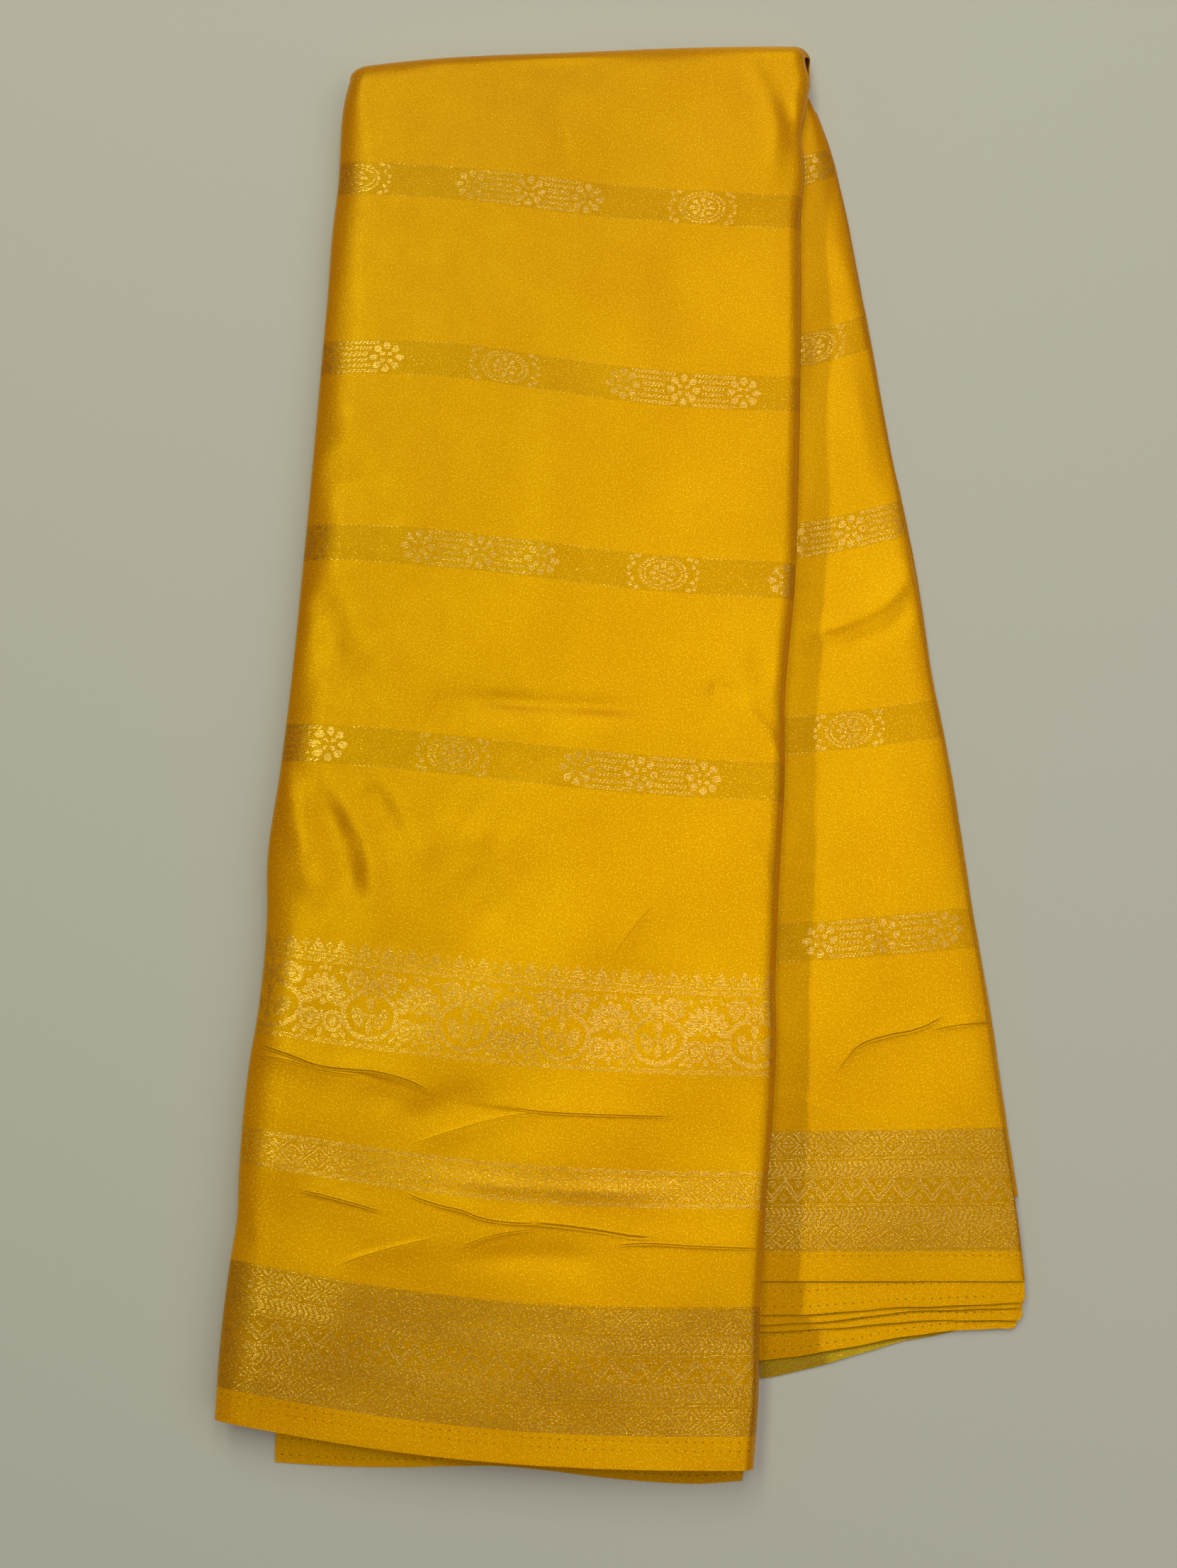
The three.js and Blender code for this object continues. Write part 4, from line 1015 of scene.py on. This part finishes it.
ROW_PITCH = 0.52
SAMPLE = 0.08
BIND_PITCH = 0.92  # from one binding point to the next in a row, shifted by BIND_SHIFT of it in each row
BIND_SHIFT = 0.38
BIND_SHARE = 0.27
SHORTEST = 0.22
KEPT = 0.985  # share of the floats that are there; the others are worn


def floats_of(mask, u_range, v_range, seed):
    """Floats (start, end, v) of a figure: each woven row is on where the mask is, bound in a twill."""
    v = np.arange(v_range[0] + ROW_PITCH / 2, v_range[1], ROW_PITCH)
    u = np.arange(u_range[0], u_range[1], SAMPLE)
    grid_u, grid_v = np.meshgrid(u, v)
    on = mask(grid_u, grid_v)
    row = np.arange(len(v))[:, None]
    on &= ((grid_u / BIND_PITCH + row * BIND_SHIFT) % 1.0) > BIND_SHARE
    edge = np.zeros((len(v), 1), bool)
    change = np.diff(np.hstack([edge, on, edge]).astype(np.int8), axis=1)
    rows, starts = np.where(change == 1)
    ends = np.where(change == -1)[1]
    keep = (ends - starts) * SAMPLE > SHORTEST
    rows, starts, ends = rows[keep], starts[keep], ends[keep]
    local = np.random.default_rng(seed)
    kept = local.random(len(rows)) < KEPT
    return np.column_stack([u[0] + starts * SAMPLE, u[0] + ends * SAMPLE, v[rows]])[kept]


FLOAT_HALF = 0.17  # half the width of a float
FLOAT_FOOT = -0.02  # height of a float's edges over the cloth
FLOAT_GRAIN = 0.3  # change of the cloth coordinate at a float's ends, so that its tone varies along it


def zari_mesh(name, floats, place, seed):
    """Small raised floats on a surface. place(u, v) gives points and normals."""
    local = np.random.default_rng(seed)
    count = len(floats)
    start, end, v = floats.T
    slip = local.uniform(-0.05, 0.05, count)
    tilt = local.normal(0, 0.016, count)
    lift = local.uniform(0.025, 0.045, count)
    foot = np.full(count, FLOAT_FOOT)
    corners, spread = [], []
    for across, offset, heights in (
        (-FLOAT_HALF, 0, (foot, foot)), (0, slip, (lift - tilt, lift + tilt)), (FLOAT_HALF, 0, (foot, foot)),
    ):
        for u, height, grain in zip((start, end), heights, (-FLOAT_GRAIN, FLOAT_GRAIN)):
            point, normal = place(u, v + across + offset)
            corners.append(point + normal * height[:, None])
            spread.append((grain, across))
    points = np.stack(corners, axis=1).reshape(-1, 3)
    points[:, 2] = np.maximum(points[:, 2], 0)
    base = np.arange(count)[:, None] * len(corners)
    quads = np.concatenate([base + np.array(four) for four in ((0, 1, 3, 2), (2, 3, 5, 4))])
    middle = np.column_stack([(start + end) / 2, v])
    uv = np.repeat(middle, len(corners), axis=0) + np.tile(spread, (count, 1))
    return make_mesh(name, points, [quads], uv, sharp=0)


# Materials


class Tree:
    """Short calls for building a material's nodes."""

    def __init__(self, name):
        self.material = bpy.data.materials.new(name)
        self.material.use_nodes = True
        self.tree = self.material.node_tree
        self.shader = self.tree.nodes["Principled BSDF"]

    def node(self, kind, inputs=None, **settings):
        node = self.tree.nodes.new(kind)
        for key, value in settings.items():
            setattr(node, key, value)
        for key, value in (inputs or {}).items():
            self.feed(node.inputs[key], value)
        return node

    def feed(self, socket, value):
        if isinstance(value, bpy.types.NodeSocket):
            self.tree.links.new(value, socket)
        else:
            socket.default_value = value

    def math(self, operation, a, b=0.0, c=0.0):
        return self.node("ShaderNodeMath", {0: a, 1: b, 2: c}, operation=operation).outputs[0]

    def plus(self, a, b):
        return self.math("ADD", a, b)

    def minus(self, a, b):
        return self.math("SUBTRACT", a, b)

    def times(self, a, b):
        return self.math("MULTIPLY", a, b)

    def absolute(self, a):
        return self.math("ABSOLUTE", a)

    def mix(self, share, a, b):
        node = self.node("ShaderNodeMix", data_type="RGBA")
        self.feed(node.inputs[0], share)
        self.feed(node.inputs[6], a)
        self.feed(node.inputs[7], b)
        return node.outputs[2]

    def ramp(self, value, low, high, to_low=0.0, to_high=1.0):
        inputs = {0: value, 1: low, 2: high, 3: to_low, 4: to_high}
        return self.node("ShaderNodeMapRange", inputs, interpolation_type="SMOOTHSTEP").outputs[0]

    def noise(self, vector, scale, detail=2.0, rough=0.5):
        inputs = {"Vector": vector, "Scale": scale, "Detail": detail, "Roughness": rough}
        return self.node("ShaderNodeTexNoise", inputs).outputs[0]

    def cloth_uv(self):
        return self.node("ShaderNodeUVMap", uv_map="cloth").outputs[0]

    def finish(self, values):
        """Set sockets of the shader, whose gloss follows the threads."""
        for key, value in values.items():
            self.feed(self.shader.inputs[key], value)
        tangent = self.node("ShaderNodeTangent", direction_type="UV_MAP", uv_map="cloth").outputs[0]
        self.feed(self.shader.inputs["Tangent"], tangent)
        return self.material


TISSUE = (0.47, 0.135, 0.0015, 1)  # ground of the tissue bands, with fine zari between its threads
# painted highlight: bright specks of colour standing in for glints of the satin's weave
PAINTED_SPARKLE = (1.0, 0.60, 0.025, 1)
DULL_THREAD = (0.46, 0.14, 0.001, 1)
HOLE_BROWN = (0.16, 0.035, 0.001, 1)
# painted shade along the pressed lines
PAINTED_CREASE_SHADE = (0.30, 0.09, 0.001, 1)
# painted shade where cloth lies close: crevices, creases and under leaf edges
PAINTED_CREVICE_SHADE = (0.15, 0.036, 0.0006, 1)
HOLE_PITCH = 0.0034
TWILL_PITCH = 0.00062
WEFT_PITCH = 0.0005
BAND_HALF = 0.008
SATIN_GLOSS = {
    "Specular IOR Level": 0.7, "Specular Tint": (1.0, 0.9, 0.004, 1),
    "Sheen Weight": 0.06, "Sheen Roughness": 0.45, "Sheen Tint": (1.0, 0.6, 0.02, 1),
    "Anisotropic": 0.35, "Anisotropic Rotation": 0.25,
}


def pressed_line(t, x, y, width, path):
    """Masks of a fine pressed line through a path's points: the line itself, and the lips beside it."""
    points = np.array(path, float)
    low, high = points.min(axis=0) - 1, points.max(axis=0) + 1
    share = t.node("ShaderNodeMapRange", {0: x, 1: low[0] * MM, 2: high[0] * MM}).outputs[0]
    curve = t.node("ShaderNodeFloatCurve", {"Value": share})
    knots = curve.mapping.curves[0].points
    shares = (points - low) / (high - low)
    knots[0].location = shares[0]
    knots[1].location = shares[-1]
    for share_x, share_y in shares[1:-1]:
        knots.new(share_x, share_y)
    curve.mapping.update()
    height = t.node("ShaderNodeMapRange", {0: curve.outputs[0], 3: low[1] * MM, 4: high[1] * MM}).outputs[0]
    gap = t.minus(y, height)
    ends = t.times(t.ramp(share, 0.02, 0.12), t.ramp(share, 0.88, 0.98, 1.0, 0.0))
    near = t.ramp(t.absolute(gap), 0.2 * width * MM, 1.1 * width * MM, 1.0, 0.0)
    lip = t.absolute(t.minus(t.absolute(gap), 1.6 * width * MM))
    return t.times(near, ends), t.times(t.ramp(lip, 0, 1.5 * width * MM, 1.0, 0.0), ends)


def pin_holes(t, u, v, uv, row):
    """Mask of a row of pin holes along a selvedge, deeper in some places."""
    along = t.plus(u, t.times(t.noise(uv, 120.0, 0.0), 0.0012))
    cell = t.absolute(t.minus(t.math("FRACT", t.math("DIVIDE", along, HOLE_PITCH)), 0.5))
    across = t.math("POWER", t.times(cell, HOLE_PITCH), 2.0)
    down = t.math("POWER", t.times(t.absolute(t.minus(v, row * MM)), 1.6), 2.0)
    hole = t.ramp(t.math("SQRT", t.plus(across, down)), 0.0003, 0.0006, 1.0, 0.0)
    return t.times(hole, t.ramp(t.noise(uv, 40.0, 1.0), 0.3, 0.6, 0.35, 1.0))


def satin(name, colour, shade, bands=(), border=None, holes=(), reverse=False, pressed=()):
    """Golden satin: fine diagonal weave, soft coloured sheen, uneven tone, painted sparkle, painted shade in
    pressed lines and crevices, tissue stripes and pin holes.
    """
    t = Tree(name)
    uv = t.cloth_uv()
    split = t.node("ShaderNodeSeparateXYZ", {0: uv})
    u, v = split.outputs[0], split.outputs[1]
    place = t.node("ShaderNodeTexCoord").outputs["Object"]

    broad = t.noise(place, 22.0, 2.0)
    mottled = t.noise(place, 160.0, 3.0, 0.6)
    grain = t.noise(uv, 1500.0, 1.0, 0.6)
    base = t.mix(t.ramp(broad, 0.35, 0.68, 0.0, 0.5), colour, shade)
    base = t.mix(t.ramp(mottled, 0.3, 0.75, 0.0, 0.16), base, shade)

    for middle in bands:
        mask = t.math("COMPARE", v, middle * MM, BAND_HALF)
        base = t.mix(t.times(mask, 0.5), base, TISSUE)
    if border:
        low, high = border
        mask = t.math("COMPARE", v, (low + high) / 2 * MM, (high - low) / 2 * MM)
        base = t.mix(t.times(mask, 0.8), base, TISSUE)

    # Painted highlight: bright specks of the fine grain stand in for glints of the weave; the darker threads
    # below fall at random.
    base = t.mix(t.ramp(grain, 0.56, 0.68, 0.0, 0.6), base, PAINTED_SPARKLE)
    base = t.mix(t.ramp(grain, 0.3, 0.43, 0.5, 0.0), base, DULL_THREAD)
    for row, strength in holes:
        base = t.mix(t.times(pin_holes(t, u, v, uv, row), strength), base, HOLE_BROWN)

    fold = 0.0
    if pressed:
        split = t.node("ShaderNodeSeparateXYZ", {0: place})
    for strength, width, path in pressed:
        line, lip = pressed_line(t, split.outputs[0], split.outputs[1], width, path)
        # Painted shade: each pressed line is darkened in colour, besides the bump it gets below.
        base = t.mix(t.times(line, 0.5 * strength), base, PAINTED_CREASE_SHADE)
        depth = t.minus(t.times(lip, strength), t.times(line, 1.6 * strength))
        fold = t.plus(fold, depth)

    # Painted shade: the colour darkens where the ambient occlusion node finds cloth close by, as in crevices
    # and under the steps' edges.
    shade_occlusion = t.node("ShaderNodeAmbientOcclusion", {"Distance": 0.003}, samples=8).outputs[1]
    base = t.mix(t.ramp(shade_occlusion, 0.3, 0.88, 0.96, 0.0), base, PAINTED_CREVICE_SHADE)

    slant = t.plus(u, t.times(v, 0.55))
    twill = t.math("SINE", t.times(slant, 2 * math.pi / TWILL_PITCH))
    cross = t.math("SINE", t.times(v, 2 * math.pi / WEFT_PITCH))
    weave = t.plus(t.times(twill, 0.5), t.times(cross, 0.3))
    weave = t.plus(weave, t.times(grain, 1.6))
    pucker = t.noise(place, 260.0, 3.0, 0.55)
    relief = t.plus(t.times(weave, 0.25), t.times(pucker, 1.4))
    relief = t.plus(relief, t.times(fold, 2.0))
    bump = t.node("ShaderNodeBump", {"Strength": 0.55, "Distance": 0.00012, "Height": relief})
    return t.finish({
        "Base Color": base, "Roughness": t.ramp(mottled, 0.3, 0.7, 0.31, 0.37), "Normal": bump.outputs[0],
        "Metallic": 0.05 if reverse else 0.14, "IOR": 1.6 if reverse else 1.9, **SATIN_GLOSS,
    })


def zari_material():
    """Flat metal thread: pale gold with darker, browner places."""
    t = Tree("zari")
    uv = t.cloth_uv()
    speck = t.noise(uv, 1500.0, 1.0, 0.6)
    tone = t.noise(uv, 60.0, 2.0, 0.6)
    base = t.mix(t.ramp(speck, 0.3, 0.7), (0.60, 0.34, 0.06, 1), (1.0, 0.72, 0.25, 1))
    base = t.mix(t.ramp(tone, 0.35, 0.7, 0.0, 0.35), base, (0.50, 0.26, 0.05, 1))
    return t.finish({
        "Base Color": base, "Roughness": t.ramp(speck, 0.3, 0.7, 0.30, 0.20),
        "Metallic": 1.0, "Anisotropic": 0.5, "Anisotropic Rotation": 0.25,
    })


# Camera, floor and light

VIEW_ELEVATION = math.radians(77.6)
VIEW_DISTANCE = 0.7128
SENSOR = 36
LENS = 39.06

camera_data = bpy.data.cameras.new("camera")
camera_data.sensor_fit = "VERTICAL"
camera_data.sensor_height = SENSOR
camera_data.sensor_width = SENSOR
camera_data.lens = LENS
camera = bpy.data.objects.new("camera", camera_data)
camera.location = (0, -VIEW_DISTANCE * math.cos(VIEW_ELEVATION), VIEW_DISTANCE * math.sin(VIEW_ELEVATION))
camera.rotation_euler = (math.pi / 2 - VIEW_ELEVATION, 0, 0)
bpy.context.scene.collection.objects.link(camera)
bpy.context.scene.camera = camera
bpy.context.scene.view_settings.view_transform = "Standard"

FLOOR = 3000
SQUARE = ((-1, -1), (1, -1), (1, 1), (-1, 1))
floor = make_mesh("floor", [(x * FLOOR, y * FLOOR, 0) for x, y in SQUARE], [[(0, 1, 2, 3)]])
floor_tree = Tree("floor")
for key, value in (("Base Color", (0.74, 0.73, 0.71, 1)), ("Roughness", 0.85), ("Specular IOR Level", 0.1)):
    floor_tree.shader.inputs[key].default_value = value
floor.data.materials.append(floor_tree.material)

cloth_pieces = bpy.data.collections.new("cloth_pieces")  # what the low strip lights: the cloth, not the floor


def area_light(name, size, energy, colour, place):
    data = bpy.data.lights.new(name, "AREA")
    data.shape = "RECTANGLE"
    data.size, data.size_y = size
    data.energy = energy
    data.color = colour
    light = bpy.data.objects.new(name, data)
    light.location = place
    bpy.context.scene.collection.objects.link(light)
    return light


LIGHT_HEIGHT = 1.6
WARM = (1.0, 0.95, 0.82)
COOL = (0.68, 1.0, 0.28)
AMBIENT = 0.1
# soft overhead panels: name, x from and to, y from and to (m), radiance, colour
PANELS = (
    ("overhead_left", -0.8, -0.30, -0.2, 2.1, 2.95, (0.96, 1.0, 0.65)),
    ("overhead_right", -0.03, 0.45, -0.2, 2.1, 2.05, WARM),
    ("side_right", 0.5, 2.8, -1.8, 0.85, 0.7, WARM),
)
for name, x0, x1, y0, y1, radiance, colour in PANELS:
    energy = radiance * math.pi * (x1 - x0) * (y1 - y0)
    area_light(name, (x1 - x0, y1 - y0), energy, colour, ((x0 + x1) / 2, (y0 + y1) / 2, LIGHT_HEIGHT))

# a low strip with a grid, that rakes across the cloth from the left
RAKING_FROM = Vector((-2.0, 0.6, 1.0)).normalized()
RAKING_AT = Vector((0.17, 0.05, 0.0))
RAKING_DISTANCE = 1.3
raking = area_light("raking_left", (0.9, 0.06), 0.42, COOL, RAKING_AT + RAKING_FROM * RAKING_DISTANCE)
raking.data.spread = math.radians(10)
raking.rotation_euler = RAKING_FROM.to_track_quat("Z", "Y").to_euler()
raking.light_linking.receiver_collection = cloth_pieces
raking.visible_glossy = False
world = bpy.data.worlds.new("world")
world.use_nodes = True
backdrop = world.node_tree.nodes["Background"]
backdrop.inputs[0].default_value = (1, 1, 1, 1)
backdrop.inputs[1].default_value = AMBIENT
bpy.context.scene.world = world

# Pieces

GOLD = (0.77, 0.268, 0.0006, 1)
GOLD_SHADE = (0.71, 0.215, 0.0006, 1)
FRONT_BANDS = (262.5, 348.5, 432.5, 518.4, 609.0)
SIDE_BANDS = (131.7, 218.0, 303.0, 390.4, 478.0)
FRONT_BORDER = (12, 58.5)
NARROW_BAND = (94.5, 108.5)
SCROLL_BAND = (144.6, 185.4)
SIDE_BORDER = (11, 57)
FRONT_PHASES = (145.9, 73.5, 2.7, 84.7, 154.7)  # where a cartouche's middle is in each band
SIDE_PHASES = (44.0, 103.7, 24.0, 82.0, -16.0)

REVERSE = (0.46, 0.25, 0.02, 1)
REVERSE_SHADE = (0.34, 0.17, 0.012, 1)
FRONT_HOLES = ((10.0, 0.8), (6.9, 0.7))

satin_front = satin(
    "satin_front", GOLD, GOLD_SHADE, FRONT_BANDS, FRONT_BORDER, FRONT_HOLES, pressed=FRONT_PRESSED,
)
satin_side = satin(
    "satin_side", GOLD, GOLD_SHADE, SIDE_BANDS, SIDE_BORDER, ((9.4, 0.8),), pressed=SIDE_PRESSED,
)
satin_step = satin("satin_step", GOLD, GOLD_SHADE, holes=((3.0, 0.9), (8.8, 0.8)))
satin_reverse = satin("satin_reverse", REVERSE, REVERSE_SHADE, holes=((7.5, 0.6),), reverse=True)
zari = zari_material()


def dress(piece, material, slot, *nodes):
    piece.data.materials.append(material)
    cloth_pieces.objects.link(piece)
    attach(piece, "root")
    if nodes:
        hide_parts(*nodes)
    return piece


front_points, front_uv, front_taus = front_leaf_grid()
front = dress(shell("front_cloth", front_points, front_uv), satin_front, "satin", "front_leaf")
side_points, side_uv, side_along = side_leaf_grid()
side = dress(shell("side_cloth", side_points, side_uv), satin_side, "satin", "side_leaf")

front_surface = Surface(front_points)
side_surface = Surface(side_points)
front_u = front_uv[0, :, 0]


def on_front(u, v):
    """Points and normals of the front leaf at cloth coordinates."""
    column = np.interp(u, front_u, np.arange(len(front_u)))
    row = np.interp(v / run_at(u / PANEL_WIDTH), front_taus, np.arange(len(front_taus)))
    return front_surface.at(row, column)


def on_side(u, v):
    """Points and normals of the side leaf; u runs from the front panel's edge, in the row's own scale."""
    row = np.interp(v / SIDE_LENGTH, side_along, np.arange(len(side_along)))
    r = np.clip(row.astype(int), 0, len(side_along) - 1)
    rows_u = side_uv[:, :, 0]
    column = np.empty_like(u)
    for index in np.unique(r):
        here = r == index
        column[here] = np.interp(u[here], rows_u[index], np.arange(rows_u.shape[1]))
    return side_surface.at(row, column)


U_RANGE = (-14.0, PANEL_WIDTH + 14.0)
LYRE_AT = 82.4  # a lyre's middle in the scroll band
GATHERED = 0.945  # the cloth is a little narrower there than at the hem
POINT_CHANCE = 0.42


def add_zari(name, parts, place, seed):
    return dress(zari_mesh(name, np.concatenate(parts), place, seed), zari, "zari")


def band_floats(bands, phases, ranges, seed):
    """Floats of every tissue band of a leaf."""
    return [
        floats_of(tissue_band(middle, phase, POINT_CHANCE), reach, (middle - 8, middle + 8), seed + number)
        for number, (middle, phase, reach) in enumerate(zip(bands, phases, ranges))
    ]


def front_border(u, v):
    return wide_border(u, v - 35.25)


def front_narrow(u, v):
    return narrow_band(u, v - 101.5)


def front_scroll(u, v):
    return scroll_band((u - LYRE_AT) / GATHERED, v - SCROLL_BAND[0])


def side_border(u, v):
    return wide_border(u + 3, v - 34)


front_zari = [
    add_zari("front_border_zari", [floats_of(front_border, U_RANGE, FRONT_BORDER, 11)], on_front, 31),
    add_zari("front_narrow_zari", [floats_of(front_narrow, U_RANGE, NARROW_BAND, 12)], on_front, 32),
    add_zari("front_scroll_zari", [floats_of(front_scroll, U_RANGE, SCROLL_BAND, 13)], on_front, 33),
]
front_reach = [U_RANGE] * 4 + [(20, PANEL_WIDTH - 8)]
front_floats = band_floats(FRONT_BANDS, FRONT_PHASES, front_reach, 14)
front_zari.append(add_zari("front_band_zari", front_floats, on_front, 34))
side_floats = [floats_of(side_border, (-1, 118), SIDE_BORDER, 21)]
side_floats += band_floats(SIDE_BANDS, SIDE_PHASES, [(-1, 110)] * 5, 40)
side_zari = add_zari("side_zari", side_floats, on_side, 35)

for row in STEPPED:
    points, uv = stepped_grid(*row)
    lowest = row[1] == 0
    material, slot = (satin_reverse, "satin_reverse") if lowest else (satin_step, "satin")
    dress(shell(row[0] + "_cloth", points, uv), material, slot, row[0])
under_points, under_uv = under_leaf_grid()
under = dress(shell("under_cloth", under_points, under_uv), satin_step, "satin", "under_leaf")
inner = dress(inner_leaves(), satin_step, "satin", "hidden_layers")
